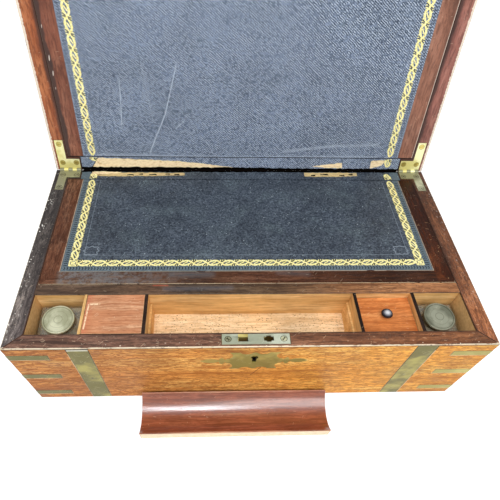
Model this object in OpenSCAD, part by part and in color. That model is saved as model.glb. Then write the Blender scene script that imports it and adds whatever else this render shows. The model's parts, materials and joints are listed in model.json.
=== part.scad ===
// Brass-bound writing box with a sloping split, opened as for writing.
// Millimetres. +X is to the right, +Y goes from the front to the hinges, +Z is up.
// The origin is the centre of the underside of the base.
// The lid is drawn shut and then turned open about the hinge line.

/* [Body] */
// Width of the box, side to side
body_w = 460; // [430:1:500]
// Depth of the box, front to back
body_d = 260; // [250:1:280]
// Height of the base at its front
front_h = 125; // [120:1:140]
// Height of the base at its back
back_h = 91.5; // [88:0.5:100]
// Thickness of the side boards
side_t = 17; // [15:0.5:19]
// Thickness of the front boards
front_t = 16; // [15.5:0.5:18]
// Thickness of the back boards
back_t = 17; // [15.5:0.5:19]
// Thickness of the bottom board
bottom_t = 7; // [5:0.5:10]
// Thickness of the lid's top board
top_t = 8; // [6:0.5:10]
// Thickness of the rosewood facing on the rims, measured upright
rim_t = 1.5; // [1.3:0.1:2]

/* [Lid and hinges] */
// How far the lid stands open, in degrees from shut
lid_open = 98.13; // [80:0.01:120]
// Room between each rim and the hinge axis
rim_gap = 0.15; // [0.1:0.05:0.4]
// Room between the backs and the hinge axis
back_gap = 0.15; // [0.1:0.05:0.4]
// How far the lid's top stays short of the base's height when laid flat
lid_short = 0.2; // [0.1:0.1:1]
// Length of a hinge along the hinge line
hinge_w = 25.5; // [24:0.5:30]
// Distance from the outer side of a hinge to the side of the box
hinge_inset = 4.5; // [3.5:0.5:6]
// Width of a leaf's leg along the hinge line
hinge_leg = 14.2; // [13.5:0.1:15]
// Length of a leaf's leg along the side rim
hinge_arm = 38; // [36:1:45]
// Width of a leaf's leg along the side rim
hinge_arm_w = 10; // [9:0.5:12]
// Radius of the hinge knuckle
knuckle_r = 2.25; // [2:0.05:2.6]
// Radius of the hinge pin
pin_r = 0.9; // [0.7:0.05:1.1]
// Radial play of the pin in the lid's knuckles
pin_play = 0.05; // [0.03:0.01:0.08]
// Number of segments in a knuckle
knuckles = 5; // [3:2:7]

/* [Writing flaps] */
// Thickness of a writing flap
flap_t = 9; // [7:0.5:11]
// Play round a flap
flap_play = 0.4; // [0.3:0.1:0.8]
// Thickness of the leather and of the wood border beside it
skin_t = 0.7; // [0.5:0.1:1]
// How far the leather and border lie below the rim
skin_drop = 0.1; // [0.1:0.05:0.3]
// Width of the wood border at a flap's sides
border_w = 18.6; // [14:0.1:24]
// Width of the wood border along a flap's front
border_front = 17.6; // [14:0.1:24]
// Gap in the wood under the leather crease
crease = 1; // [0.8:0.1:1.5]
// Width and height of the cleats that carry the flaps
cleat = 8; // [6:0.5:10]
// Distance from the hinges to the leather over the hinge rail
leather_inset = 2; // [1.5:0.1:6]

/* [Pen section] */
// Depth of the pen section, front to back
pen_d = 46.5; // [45:0.5:50]
// Length of the middle pen compartment
pen_w = 204.5; // [203.5:0.5:210]
// Width of an inkwell compartment
well_w = 48.5; // [46:0.5:50]
// Thickness of the dividers
divider_t = 3; // [2:0.5:4]
// Width of the rosewood rail behind the pen section
rail_w = 12.9; // [11:0.1:15]
// Width of the ledge that carries the front of the base flap
flap_ledge = 4; // [3:0.5:6]
// Height of the pen floor's upper face
pen_floor_z = 76; // [72:0.5:80]
// Thickness of the pen floor
pen_floor_t = 5; // [4:0.5:7]
// Height of the inkwell floors' upper face
well_floor_z = 61; // [56:0.5:64]
// Depth of the pen tray ledges below the rim
tray_ledge_drop = 19.3; // [18:0.1:22]
// Thickness of the pen tray ledges
tray_ledge_t = 2; // [1.5:0.1:3]
// Thickness of the left cover
cover_t = 4.5; // [3:0.5:6]
// How far the left cover lies below the rim
cover_drop = 0.3; // [0.3:0.1:1]
// Play round the covers
cover_play = 0.3; // [0.2:0.1:0.6]
// Thickness of the small lid
small_lid_t = 4; // [3:0.5:5]
// How far the small lid lies below the rim
small_lid_drop = 9; // [8.5:0.5:12]
// Width and height of the ledges under the covers
ledge = 2.5; // [2:0.5:4]
// Diameter of the knob on the small lid
knob_d = 11.5; // [8:0.5:14]
// Height of the knob
knob_h = 6; // [5:0.5:7]
// Diameter of the knob's stem
knob_stem_d = 4; // [3:0.5:5]

/* [Pen tray] */
// Length of the pen tray
tray_w = 203; // [195:1:203]
// Width of the pen tray
tray_d = 46; // [42:0.5:46]
// Height of the pen tray
tray_h = 16; // [14:0.5:17]
// Wood left under the trough
tray_floor = 4.5; // [3:0.5:6]
// Width of the lips beside the trough
tray_lip = 1.2; // [1:0.1:3]
// Where the middle of the loose tray lies, to the left of the box's middle
tray_left = 15; // [0:1:40]
// Room between the loose tray and the front of the box
tray_away = 1.6; // [1.5:0.1:30]

/* [Inkwells] */
// Width of an inkwell's glass, side to side
glass_w = 44; // [40:0.5:45]
// Depth of an inkwell's glass, front to back
glass_d = 43; // [40:0.5:44.5]
// Height of the glass up to its shoulder
glass_h = 39; // [36:0.5:40]
// Bevel on the glass's upright edges and shoulder
glass_bevel = 4; // [3:0.5:5]
// Diameter of the ink space
ink_d = 35; // [30:0.5:36]
// Thickness of the glass under the ink
glass_floor = 5; // [4:0.5:8]
// Outer diameter of the neck
neck_d = 20; // [18:0.5:21]
// Inner diameter of the neck
neck_bore = 15; // [12:0.5:16]
// Height of the neck above the shoulder
neck_h = 7; // [6:0.5:8]
// Thickness of the brass collar on the neck
collar_t = 1.9; // [1.5:0.1:2]
// Height of the collar
collar_h = 6; // [5:0.5:6.5]
// Diameter of a cap
cap_d = 31.5; // [29:0.5:33]
// Height of a cap
cap_h = 6; // [5.5:0.5:7]
// Radial play of a cap on its collar
cap_play = 0.1; // [0.08:0.01:0.3]

/* [Lock] */
// Where the lock's middle lies, to the right of the box's middle
lock_x = 1; // [-5:0.5:5]
// Length of the lock plate and of the link plate
plate_w = 63.5; // [60:0.5:70]
// Width of the lock plate and of the link plate
plate_d = 11.5; // [11:0.1:12]
// Distance of the plates from the front edge, along the rim
plate_inset = 3.2; // [3:0.1:3.5]
// Distance of each hook from the lock's middle
hook_x = 12; // [11.5:0.1:13]
// Distance of the hooks from the front edge, along the rim
hook_v = 9.2; // [9:0.1:9.4]
// Width of a hook
hook_w = 7.5; // [7:0.1:8]
// Thickness of a hook
hook_t = 2.8; // [2.4:0.1:3]
// How far a hook stands out of the lid's rim
hook_h = 9.5; // [9:0.1:10]
// Distance of the plate screws from the lock's middle
plate_screw_x = 26; // [25:0.5:29]
// Width of the lock case
case_w = 44; // [42.5:0.5:46]
// Height of the underside of the lock case
case_z = 84; // [80:0.5:86]
// Wood left in front of the lock case
case_front = 5.5; // [5:0.1:6]
// Wall of the lock case
case_wall = 1.6; // [1.2:0.1:2]
// Travel of the bolt
bolt_travel = 4; // [3.5:0.1:4]
// Height of the centre of the keyhole's round part
keyhole_z = 101.3; // [99:0.1:103]
// Radius of the keyhole's round part
keyhole_r = 3.5; // [3:0.1:3.6]
// Length of the keyhole's slot below the centre
keyhole_slot = 11; // [8:0.1:11]
// Width of the keyhole's slot
keyhole_w = 4; // [2.5:0.1:4]

/* [Inlaid brass] */
// Thickness of the inlaid brass
brass_t = 1.2; // [0.8:0.1:2]
// Width of a strap
strap_w = 20; // [16:0.5:24]
// Distance of a strap's middle from the box's middle
strap_x = 162.5; // [150:0.5:168]
// Height of a corner strip
strip_h = 10; // [8:0.5:12]
// Length of a corner strip along each face
strip_len = 38; // [30:0.5:42]
// Height of the middle of the lowest corner strip
strip_low = 16.5; // [14:0.5:20]
// Distance of the middle of the highest corner strip below the rim's front edge
strip_high = 19; // [17:0.5:22]
// Distance of the middle of a corner strip from the rim, at the back and on the lid
strip_near = 15; // [13:0.5:18]
// Width of the escutcheon's plate
plaque_w = 47; // [44:0.5:50]
// Height of the escutcheon's plate
plaque_h = 38; // [35:0.5:40]
// Height of the escutcheon's middle
plaque_z = 94; // [92:0.5:96]
// Height of the escutcheon's arms
plaque_arm = 10.6; // [9:0.1:12]
// Distance of the bead on each arm from the escutcheon's middle
bead_x = 31.5; // [30:0.5:34]
// Height of a bead
bead_h = 15; // [13:0.5:16]
// Length of the lance at the end of each arm
lance = 20; // [18:0.5:24]
// Height of the lance
lance_h = 9; // [8:0.5:10]

/* [Flap catch] */
// Where the catch sits along the lid's front rim
catch_x = 70; // [50:1:100]
// Length of the catch
catch_l = 15; // [13:0.5:16]
// Width of the catch
catch_w = 5.5; // [4.5:0.5:6]
// Distance of the catch's screw from the lid flap
catch_back = 4; // [3.5:0.1:4.5]

/* [Hidden] */
$fn = 48;
// How far a cut runs past the face that it goes through, and how far joined solids overlap
cut = 1;
lap = 0.1;
// Room under a piece that rests on its ledges, and under a flap on its cleats
rest_gap = 0.1;
seat_gap = 0.15;
slope = atan((front_h - back_h) / body_d);
rim_len = body_d / cos(slope);
front_y = -body_d / 2;
back_y = body_d / 2;
half_w = body_w / 2;
inner_x = half_w - side_t;
inner_front = front_y + front_t;
inner_back = back_y - back_t;
skin_low = skin_drop + skin_t;

// A point of the upright section from its place along the base's rim and its height above it
function on_rim(v, n) = [
    front_y + v * cos(slope) + n * sin(slope),
    front_h - v * sin(slope) + n * cos(slope)
];
// The same, given how far back the point lies
function rim_at(y, n) = on_rim((y - front_y - n * sin(slope)) / cos(slope), n);
// Height of the base's rim, and of the shut lid's rim
function rim_z(y) = front_h - (y - front_y) * tan(slope);
lid_lift = 2 * rim_gap / cos(slope);
function lid_z(y) = rim_z(y) + lid_lift;

// Hinge axis of the lid
hinge_v = rim_len + back_gap;
hinge_at = on_rim(hinge_v, rim_gap);
lid_top = 2 * hinge_at[1] - lid_short;
hinge_in = half_w - hinge_inset - hinge_w;
hinge_out = half_w - hinge_inset;
knuckle_room = 0.35;
groove_r = knuckle_r + knuckle_room;
rail_leather = hinge_in - leather_inset;
skin_gap = 0.5;
rail_edge = rail_leather + skin_gap;

// Pen section
pen_back = inner_front + pen_d;
rail_back = pen_back + rail_w;
ledge_back = rail_back + flap_ledge;
inner_divider = (pen_w + divider_t) / 2;
outer_divider = inner_x - well_w - divider_t / 2;
well_x = inner_x - well_w / 2;
box_x = (inner_divider + outer_divider) / 2;
box_half = (outer_divider - inner_divider - divider_t) / 2;
pen_mid = (inner_front + pen_back) / 2;

// Writing flaps
flap_x = inner_x - flap_play;
leather_x = flap_x - border_w;
flap_front = rail_back + flap_play;
crease_v = (inner_back - front_y) / cos(slope);
flap_end_v = crease_v - crease;
leather_v = (flap_front - front_y) / cos(slope) + border_front;
lid_flap_v = front_t / cos(slope) + flap_play;
lid_flap_back = inner_back - crease;
lid_leather_v = lid_flap_v + border_front;

// Screws
// Thickness of the brass let into the rims
plate_t = rim_t * cos(slope);
screw_head_r = 3;
screw_r = 1.3;
screw_len = 9;
slot_w = 0.7;
slot_deep = 0.6;
// Screws of a leaf, by their place along the hinge and their distance from the hinge line
leg_screw_in = 4.2;
leg_screw_v = 9.5;
arm_screw_in = 5;
arm_x = hinge_out - hinge_arm_w / 2;
hinge_screws = [
    [hinge_in + leg_screw_in, leg_screw_v],
    [arm_x, leg_screw_v],
    [arm_x, hinge_arm - arm_screw_in]
];

// Places and general shapes

// Extrudes an upright section, drawn in Y and Z, from x0 to x1
module along_x(x0, x1) translate([x0, 0, 0]) rotate([90, 0, 90]) linear_extrude(x1 - x0) children();
module bar(x0, x1, section) along_x(x0, x1) polygon(section);
// The same bar on both sides of the box
module bars(x0, x1, section) {
    bar(x0, x1, section);
    bar(-x1, -x0, section);
}
// Sections under the base's rim: down to a height, or as a layer between two depths
function down_to(y0, y1, top, z) = [[y0, z], [y1, z], [y1, rim_z(y1) - top], [y0, rim_z(y0) - top]];
function layer(y0, y1, top, low) = [
    [y0, rim_z(y0) - low], [y1, rim_z(y1) - low],
    [y1, rim_z(y1) - top], [y0, rim_z(y0) - top]
];
// Sections over the shut lid's rim
function up_to(y0, y1, low, z) = [[y0, lid_z(y0) + low], [y1, lid_z(y1) + low], [y1, z], [y0, z]];
function lid_layer(y0, y1, low, top) = [
    [y0, lid_z(y0) + low], [y1, lid_z(y1) + low],
    [y1, lid_z(y1) + top], [y0, lid_z(y0) + top]
];
// Puts a piece on the base's rim: y runs back along the slope and z stands off it
module on_base_rim() translate([0, front_y, front_h]) rotate([-slope, 0, 0]) children();
// The same on the shut lid's rim, facing down
module on_lid_rim() translate([0, 0, lid_lift]) on_base_rim() mirror([0, 0, 1]) children();
// Turns the shut lid open
module opened() {
    translate([0, hinge_at[0], hinge_at[1]]) rotate([-lid_open, 0, 0])
        translate([0, -hinge_at[0], -hinge_at[1]]) children();
}
module both_sides() {
    children();
    mirror([1, 0, 0]) children();
}

// Plans of the mitred boards
front_plan = [
    [-half_w, front_y], [half_w, front_y],
    [inner_x, inner_front], [-inner_x, inner_front]
];
back_plan = [
    [half_w, back_y], [-half_w, back_y],
    [-inner_x, inner_back], [inner_x, inner_back]
];
side_plan = [
    [half_w, front_y], [half_w, back_y],
    [inner_x, inner_back], [inner_x, inner_front]
];
module board(plan, section) intersection() {
    linear_extrude(lid_top) polygon(plan);
    bar(-half_w, half_w, section);
}

// Inlaid brass; as a cutter, each piece reaches over the faces that it is let into

module straps(section) bars(strap_x - strap_w / 2, strap_x + strap_w / 2, section);
// Straps on the front and back of the base
module base_strap_solids(over = 0) {
    straps(down_to(front_y - over, front_y + brass_t, rim_t - over, -over));
    straps(down_to(back_y - brass_t, back_y + over, skin_low - over, -over));
}
// Straps over the front, top and back of the shut lid
module lid_strap_solids(over = 0) {
    straps(up_to(front_y - over, front_y + brass_t, rim_t - over, lid_top + over));
    straps(up_to(back_y - brass_t, back_y + over, skin_low - over, lid_top + over));
    straps([
        [front_y - over, lid_top - brass_t], [back_y + over, lid_top - brass_t],
        [back_y + over, lid_top + over], [front_y - over, lid_top + over]
    ]);
}
// One strip bent round an upright corner, on both sides of the box
module corner_strip(y, z, over) both_sides() translate([half_w, y, z - strip_h / 2])
    mirror([0, y > 0 ? 1 : 0, 0]) linear_extrude(strip_h) {
        translate([-strip_len, -over]) square([strip_len + over, brass_t + over]);
        translate([-brass_t, -over]) square([brass_t + over, strip_len + over]);
    }
strip_top_front = front_h - strip_high;
strip_top_back = rim_z(back_y - strip_len) - strip_near;
module base_strip_solids(over = 0) {
    for (z = [strip_low, (strip_low + strip_top_front) / 2, strip_top_front])
        corner_strip(front_y, z, over);
    for (z = [strip_low, (strip_low + strip_top_back) / 2, strip_top_back])
        corner_strip(back_y, z, over);
}
lid_strip_low = lid_z(front_y) + strip_near;
module lid_strip_solids(over = 0) for (y = [front_y, back_y])
    for (z = [lid_strip_low, lid_top - strip_low]) corner_strip(y, z, over);

// Round bites beside the arms, dips in the long edges and nicks before the beads: radius and place
bite_r = 6.6;
bite_out = 4.1;
dip_r = 7;
dip_x = 8;
dip_out = 3;
nick_r = 3.6;
nick_in = 1.5;
nick_out = 1.2;
bead_half = 3;
bead_shoulder = [0.75, 0.34];
lance_gap = 1;
// Outline of the escutcheon, about its middle
module plaque_outline() {
    lance_r = (lance * lance + lance_h * lance_h) / (4 * lance_h);
    difference() {
        union() {
            square([plaque_w, plaque_h], center = true);
            square([2 * bead_x, plaque_arm], center = true);
        }
        for (sx = [-1, 1]) for (sy = [-1, 1]) {
            translate([sx * (plaque_w / 2 + bite_out), sy * (plaque_arm / 2 + bite_r)]) circle(bite_r);
            translate([sx * dip_x, sy * (plaque_h / 2 + dip_out)]) circle(dip_r);
            translate([sx * (bead_x - nick_in), sy * (plaque_arm / 2 + nick_out)]) circle(nick_r);
        }
    }
    for (s = [-1, 1]) translate([s * bead_x, 0]) {
        polygon([for (q = [[1, 0], bead_shoulder, [0, 0.5], [-bead_shoulder[0], bead_shoulder[1]],
            [-1, 0], -bead_shoulder, [0, -0.5], [bead_shoulder[0], -bead_shoulder[1]]])
            [bead_half * q[0], bead_h * q[1]]]);
        translate([s * (lance / 2 + lance_gap), 0]) intersection() {
            translate([0, lance_r - lance_h / 2]) circle(lance_r);
            translate([0, lance_h / 2 - lance_r]) circle(lance_r);
        }
    }
}
module keyhole_outline() {
    circle(keyhole_r);
    translate([-keyhole_w / 2, -keyhole_slot]) square([keyhole_w, keyhole_slot]);
}
// Stands a flat outline, drawn in X and Z, upright from y0 to y1
module along_y(y0, y1) translate([0, y1, 0]) rotate([90, 0, 0]) linear_extrude(y1 - y0) children();
module keyhole(y0, y1) translate([lock_x, 0, keyhole_z]) along_y(y0, y1) keyhole_outline();
module plaque(y0, y1) translate([lock_x, 0, plaque_z]) along_y(y0, y1) plaque_outline();

// Hinges

leg_v = rim_len - hinge_leg;
arm_v = rim_len - hinge_arm;
leaf_edge = hinge_v - groove_r;
leaf_lap = 1;
segment = hinge_w / knuckles;
segment_gap = 0.2;
// Where the strap between leaf and knuckle ends, before the hinge line
strap_short = 0.5;
groove_play = 0.3;
// Flat of a right-hand leaf; the leg along the side rim is set in from the leaf's outer end
module leaf_outline() {
    translate([hinge_in, leg_v]) square([hinge_w, leaf_edge - leg_v]);
    translate([hinge_out - hinge_arm_w, arm_v]) square([hinge_arm_w, leaf_edge - arm_v]);
}
// Room for both leaves' knuckles
module knuckle_groove() both_sides() along_x(hinge_in - groove_play, hinge_out + groove_play)
    translate([hinge_at[0], hinge_at[1]]) circle(groove_r);
// Pocket for the leaf in the rim's facing
module leaf_pocket() linear_extrude(4 * rim_t, center = true) {
    leaf_outline();
    translate([hinge_in, leaf_edge - leaf_lap]) square([hinge_w, groove_r + leaf_lap + cut]);
}
// A right-hand leaf lying under the rim, with every second knuckle segment from the given one
module leaf(first) difference() {
    union() {
        translate([0, 0, -plate_t]) linear_extrude(plate_t) {
            leaf_outline();
            for (i = [first:2:knuckles - 1]) translate([segment_x(i), leaf_edge - leaf_lap])
                square([segment - segment_gap, groove_r + leaf_lap - strap_short]);
        }
        for (i = [first:2:knuckles - 1]) translate([segment_x(i), hinge_v, rim_gap])
            rotate([0, 90, 0]) cylinder(r = knuckle_r, h = segment - segment_gap);
    }
    translate([hinge_in - cut, hinge_v, rim_gap])
        rotate([0, 90, 0]) cylinder(r = pin_r + pin_play, h = hinge_w + 2 * cut);
    for (p = hinge_screws) translate([p[0], rim_len - p[1], 0]) screw_hole();
}
function segment_x(i) = hinge_in + i * segment + segment_gap / 2;

// Countersunk screws, head up at z = 0
head_h = screw_head_r - screw_r;
module screw_body() {
    translate([0, 0, -screw_len]) cylinder(r = screw_r, h = screw_len);
    translate([0, 0, -head_h]) cylinder(r1 = screw_r, r2 = screw_head_r, h = head_h);
}
module screw() difference() {
    screw_body();
    translate([-screw_head_r, -slot_w / 2, -slot_deep]) cube([2 * screw_head_r, slot_w, slot_deep + cut]);
}
module screw_hole() {
    screw_body();
    cylinder(r = screw_head_r, h = cut);
}
module hinge_screw_places() both_sides() for (p = hinge_screws)
    translate([p[0], rim_len - p[1], 0]) children();
module plate_screw_places() for (s = [-1, 1])
    translate([lock_x + s * plate_screw_x, plate_inset + plate_d / 2, 0]) children();

// Lock

module plate_flat() translate([lock_x - plate_w / 2, plate_inset]) square([plate_w, plate_d]);
module plate_pocket() linear_extrude(4 * rim_t, center = true) plate_flat();
// Holes for the hooks: a square one, and one with a nib across its middle
hook_room = 0.9;
hole_w = hook_w + 2 * hook_room;
hole_d = 6;
slot_d = 4.8;
nib_w = 4.4;
nib_d = 7.2;
case_back = inner_front;
case_face = front_y + case_front;
// Room for the lock case in the front board
module case_mortise()
    bar(lock_x - case_w / 2, lock_x + case_w / 2, down_to(case_face, case_back + cut, -cut, case_z));
// Notch in a hook, above the rim, and the bolt's fingers that slide into it
notch_z = 3.4;
notch_h = 4;
notch_room = 0.5;
notch_depth = bolt_travel + notch_room;
finger_drop = 7.8;
finger_low = front_h - finger_drop;
finger_h = 2.4;
finger_w = 3;
finger_l = 3.9;
finger_gap = 0.45;
// Plate of the bolt behind the hooks, its tail and the room in it for the key
bolt_room = 0.8;
bolt_t = 1.8;
bolt_y = front_y + hook_v * cos(slope) + hook_t / 2 + bolt_room;
bolt_under = 4;
bolt_over = 1.4;
bolt_low = finger_low - bolt_under;
bolt_high = finger_low + finger_h + bolt_over;
bolt_past = 1;
tail_x = 16;
tail_w = 11;
tail_room = 0.4;
key_x = 3;
key_r = 4;
// Pin that guides the key
key_pin_r = 1.2;
key_pin_l = 8;

// Base

module base_front() color("peru") difference() {
    board(front_plan, down_to(front_y, inner_front, rim_t, 0));
    base_strap_solids(cut);
    base_strip_solids(cut);
    plaque(front_y - cut, front_y + brass_t);
    keyhole(front_y - cut, case_face + cut);
    case_mortise();
    on_base_rim() plate_screw_places() screw_hole();
}
module base_back() color("sienna") difference() {
    union() {
        board(back_plan, down_to(inner_back, back_y, rim_t, 0));
        bar(-rail_edge, rail_edge, layer(inner_back, back_y, skin_low, rim_t + lap));
    }
    base_strap_solids(cut);
    base_strip_solids(cut);
    knuckle_groove();
    on_base_rim() hinge_screw_places() screw_hole();
}
module base_side() difference() {
    board(side_plan, down_to(front_y, back_y, rim_t, 0));
    base_strip_solids(cut);
    knuckle_groove();
    on_base_rim() hinge_screw_places() screw_hole();
}
module base_right() color("sienna") base_side();
module base_left() color("sienna") mirror([1, 0, 0]) base_side();
module base_bottom() color("burlywood")
    translate([-inner_x, inner_front, 0]) cube([2 * inner_x, inner_back - inner_front, bottom_t]);

// Plan of the facing on the right-hand side, with its foot on the hinge rail
side_facing = [
    [half_w, front_y], [half_w, back_y], [rail_edge, back_y],
    [rail_edge, inner_back], [inner_x, inner_back], [inner_x, inner_front]
];
module base_rim_front() color("saddlebrown") difference() {
    board(front_plan, layer(front_y, inner_front, 0, rim_t));
    on_base_rim() plate_pocket();
}
module base_rim_sides() color("saddlebrown") both_sides() difference() {
    board(side_facing, layer(front_y, back_y, 0, rim_t));
    on_base_rim() leaf_pocket();
    knuckle_groove();
}
ledge_depth = flap_t / cos(slope) + seat_gap;
module pen_partition() color("burlywood") bar(-inner_x, inner_x, concat(
    [[pen_back, bottom_t], [ledge_back, bottom_t]],
    [[ledge_back, rim_z(ledge_back) - ledge_depth], [rail_back, rim_z(rail_back) - ledge_depth]],
    [[rail_back, rim_z(rail_back) - rim_t], [pen_back, rim_z(pen_back) - rim_t]]
));
module pen_rail() color("saddlebrown") bar(-inner_x, inner_x, layer(pen_back, rail_back, 0, rim_t));
module pen_floor() color("burlywood")
    translate([-outer_divider + divider_t / 2, inner_front, pen_floor_z - pen_floor_t])
        cube([2 * outer_divider - divider_t, pen_d, pen_floor_t]);
module inkwell_floors() color("burlywood") both_sides()
    translate([inner_x - well_w, inner_front, well_floor_z - pen_floor_t])
        cube([well_w, pen_d, pen_floor_t]);
module divider(x, top, z) bar(x - divider_t / 2, x + divider_t / 2, down_to(inner_front, pen_back, top, z));
module inkwell_dividers() color("tan") {
    divider(-outer_divider, cover_drop, bottom_t);
    divider(outer_divider, rim_t, bottom_t);
}
module box_dividers() color("tan") for (s = [-1, 1]) divider(s * inner_divider, rim_t, pen_floor_z);
module divider_caps() color("saddlebrown") for (x = [-inner_divider, inner_divider, outer_divider])
    bar(x - divider_t / 2, x + divider_t / 2, layer(inner_front, pen_back, cover_drop, rim_t));
module tray_ledges() color("tan")
    bars(pen_w / 2 - tray_ledge_t, pen_w / 2, down_to(inner_front, pen_back, tray_ledge_drop, pen_floor_z));
// The pair of ledges under one cover
module ledge_pair(x, depth) for (y = [inner_front, pen_back - ledge])
    bar(x - box_half, x + box_half, layer(y, y + ledge, depth, depth + ledge));
cover_ledge = cover_drop + cover_t + rest_gap;
small_lid_ledge = small_lid_drop + small_lid_t + rest_gap;
module cover_ledges() color("tan") {
    ledge_pair(-box_x, cover_ledge);
    ledge_pair(box_x, small_lid_ledge);
}
module base_flap_cleats() color("burlywood")
    bars(inner_x - cleat, inner_x, layer(ledge_back, inner_back, ledge_depth, ledge_depth + cleat));
// How far the leather over the hinge rail stays short of the rail's front and back
rail_skin = [0.1, 0.3];
module base_hinge_leather() color("darkslategray")
    bar(-rail_leather, rail_leather,
        layer(inner_back + rail_skin[0], back_y - rail_skin[1], skin_drop, skin_low));
module escutcheon() color("darkkhaki") difference() {
    plaque(front_y, front_y + brass_t);
    keyhole(front_y - cut, front_y + brass_t + cut);
}
module base_straps() color("darkkhaki") base_strap_solids();
module base_corner_strips() color("darkkhaki") base_strip_solids();

module lock_hole(x, w, d) translate([x - w / 2, hook_v - d / 2]) square([w, d]);
module lock_plate() color("darkkhaki") on_base_rim() difference() {
    translate([0, 0, -plate_t]) linear_extrude(plate_t) difference() {
        plate_flat();
        lock_hole(lock_x - hook_x, hole_w, hole_d);
        lock_hole(lock_x + hook_x, hole_w, slot_d);
        lock_hole(lock_x + hook_x, nib_w, nib_d);
    }
    plate_screw_places() screw_hole();
}
// Open-fronted case with the pin that guides the key
module lock_case() color("goldenrod") {
    x0 = lock_x - case_w / 2;
    x1 = lock_x + case_w / 2;
    rear = case_back - case_wall;
    bar(x0, x1, down_to(rear, case_back, rim_t, case_z));
    bar(x0, x0 + case_wall, down_to(case_face, rear, rim_t, case_z));
    bar(x1 - case_wall, x1, down_to(case_face, rear, rim_t, case_z));
    translate([x0 + case_wall, case_face, case_z])
        cube([case_w - 2 * case_wall, rear - case_face, case_wall]);
    translate([lock_x, rear + lap, keyhole_z])
        rotate([90, 0, 0]) cylinder(r = key_pin_r, h = key_pin_l);
}
// Sliding bolt: a plate behind the hooks, with a finger for each hook and a tail for the key
module lock_bolt() color("gold") {
    left = lock_x - case_w / 2 + case_wall + bolt_room;
    right = lock_x + hook_x - hook_w / 2 + bolt_past;
    floor_z = case_z + case_wall;
    along_y(bolt_y, bolt_y + bolt_t) difference() {
        union() {
            translate([left, bolt_low]) square([right - left, bolt_high - bolt_low]);
            translate([lock_x - tail_x, floor_z + tail_room]) square([tail_w, bolt_low - floor_z]);
        }
        translate([lock_x - key_x, keyhole_z]) circle(key_r);
    }
    for (s = [-1, 1])
        translate([lock_x + s * hook_x - hook_w / 2 - finger_gap - finger_w, bolt_y - finger_l, finger_low])
            cube([finger_w, finger_l + lap, finger_h]);
}
module base_screws() color("goldenrod") on_base_rim() {
    plate_screw_places() screw();
    hinge_screw_places() screw();
}
module base_hinge_leaves() color("darkkhaki") on_base_rim() both_sides() leaf(0);
module hinge_pins() color("goldenrod") both_sides() along_x(segment_x(0), hinge_out - segment_gap / 2)
    translate([hinge_at[0], hinge_at[1]]) circle(pin_r);

// Base flap

function base_flap_layer(top, low) = [
    rim_at(flap_front, -low), on_rim(flap_end_v, -low),
    on_rim(flap_end_v, -top), rim_at(flap_front, -top)
];
module base_flap() color("saddlebrown") bar(-flap_x, flap_x, base_flap_layer(skin_low, flap_t));
module base_flap_border() color("brown") difference() {
    bar(-flap_x, flap_x, base_flap_layer(skin_drop, skin_low));
    on_base_rim() translate([-leather_x, leather_v, -flap_t]) cube([2 * leather_x, rim_len, 2 * flap_t]);
}
module base_leather() color("darkslategray") bar(-leather_x, leather_x, [
    on_rim(leather_v, -skin_low), on_rim(flap_end_v, -skin_low),
    on_rim(flap_end_v, -skin_drop), on_rim(leather_v, -skin_drop)
]);

// Lid, drawn shut and then opened

module lid_cut(plan, section) difference() {
    board(plan, section);
    lid_strap_solids(cut);
    lid_strip_solids(cut);
    knuckle_groove();
    on_lid_rim() hinge_screw_places() screw_hole();
}
function lid_section(y0, y1) = up_to(y0, y1, rim_t, lid_top - top_t);
catch_v = lid_flap_v - catch_back;
catch_t = 1;
catch_depth = 1.6;
catch_room = 0.5;
catch_bed = 0.2;
catch_play = 0.05;
catch_low = rest_gap - catch_depth;
module catch_pocket() on_lid_rim() translate([catch_x, catch_v, -catch_depth])
    cylinder(r = catch_l / 2 + catch_room, h = catch_depth + cut);
module lid_front() color("peru") opened() difference() {
    lid_cut(front_plan, lid_section(front_y, inner_front));
    on_lid_rim() plate_screw_places() screw_hole();
    catch_pocket();
    catch_screw() screw_hole();
}
module lid_back() color("sienna") opened() {
    lid_cut(back_plan, lid_section(inner_back, back_y));
    difference() {
        bar(-rail_edge, rail_edge, lid_layer(inner_back, back_y, skin_low, rim_t + lap));
        lid_strap_solids(cut);
    }
}
module lid_right() color("sienna") opened() lid_cut(side_plan, lid_section(front_y, back_y));
module lid_left() color("sienna") opened() mirror([1, 0, 0]) lid_cut(side_plan, lid_section(front_y, back_y));
module lid_top() color("peru") opened() difference() {
    translate([-half_w, front_y, lid_top - top_t]) cube([body_w, body_d, top_t]);
    lid_strap_solids(cut);
    lid_strip_solids(cut);
}
module lid_rim_front() color("brown") opened() difference() {
    board(front_plan, lid_layer(front_y, inner_front, 0, rim_t));
    on_lid_rim() plate_pocket();
    catch_pocket();
}
module lid_rim_sides() color("brown") opened() both_sides() difference() {
    board(side_facing, lid_layer(front_y, back_y, 0, rim_t));
    on_lid_rim() leaf_pocket();
    knuckle_groove();
}
function lid_cleat(y0, y1) = lid_layer(y0, y1, ledge_depth, ledge_depth + cleat);
module lid_flap_cleats() color("burlywood") opened() {
    bars(inner_x - cleat, inner_x, lid_cleat(inner_front, inner_back));
    bar(-inner_x + cleat, inner_x - cleat, lid_cleat(inner_front, inner_front + cleat));
}
module lid_hinge_leather() color("darkslategray") opened()
    bar(-rail_leather, rail_leather,
        lid_layer(inner_back + rail_skin[0], back_y - rail_skin[1], skin_drop, skin_low));
module lid_straps() color("darkkhaki") opened() lid_strap_solids();
module lid_corner_strips() color("darkkhaki") opened() lid_strip_solids();
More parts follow.
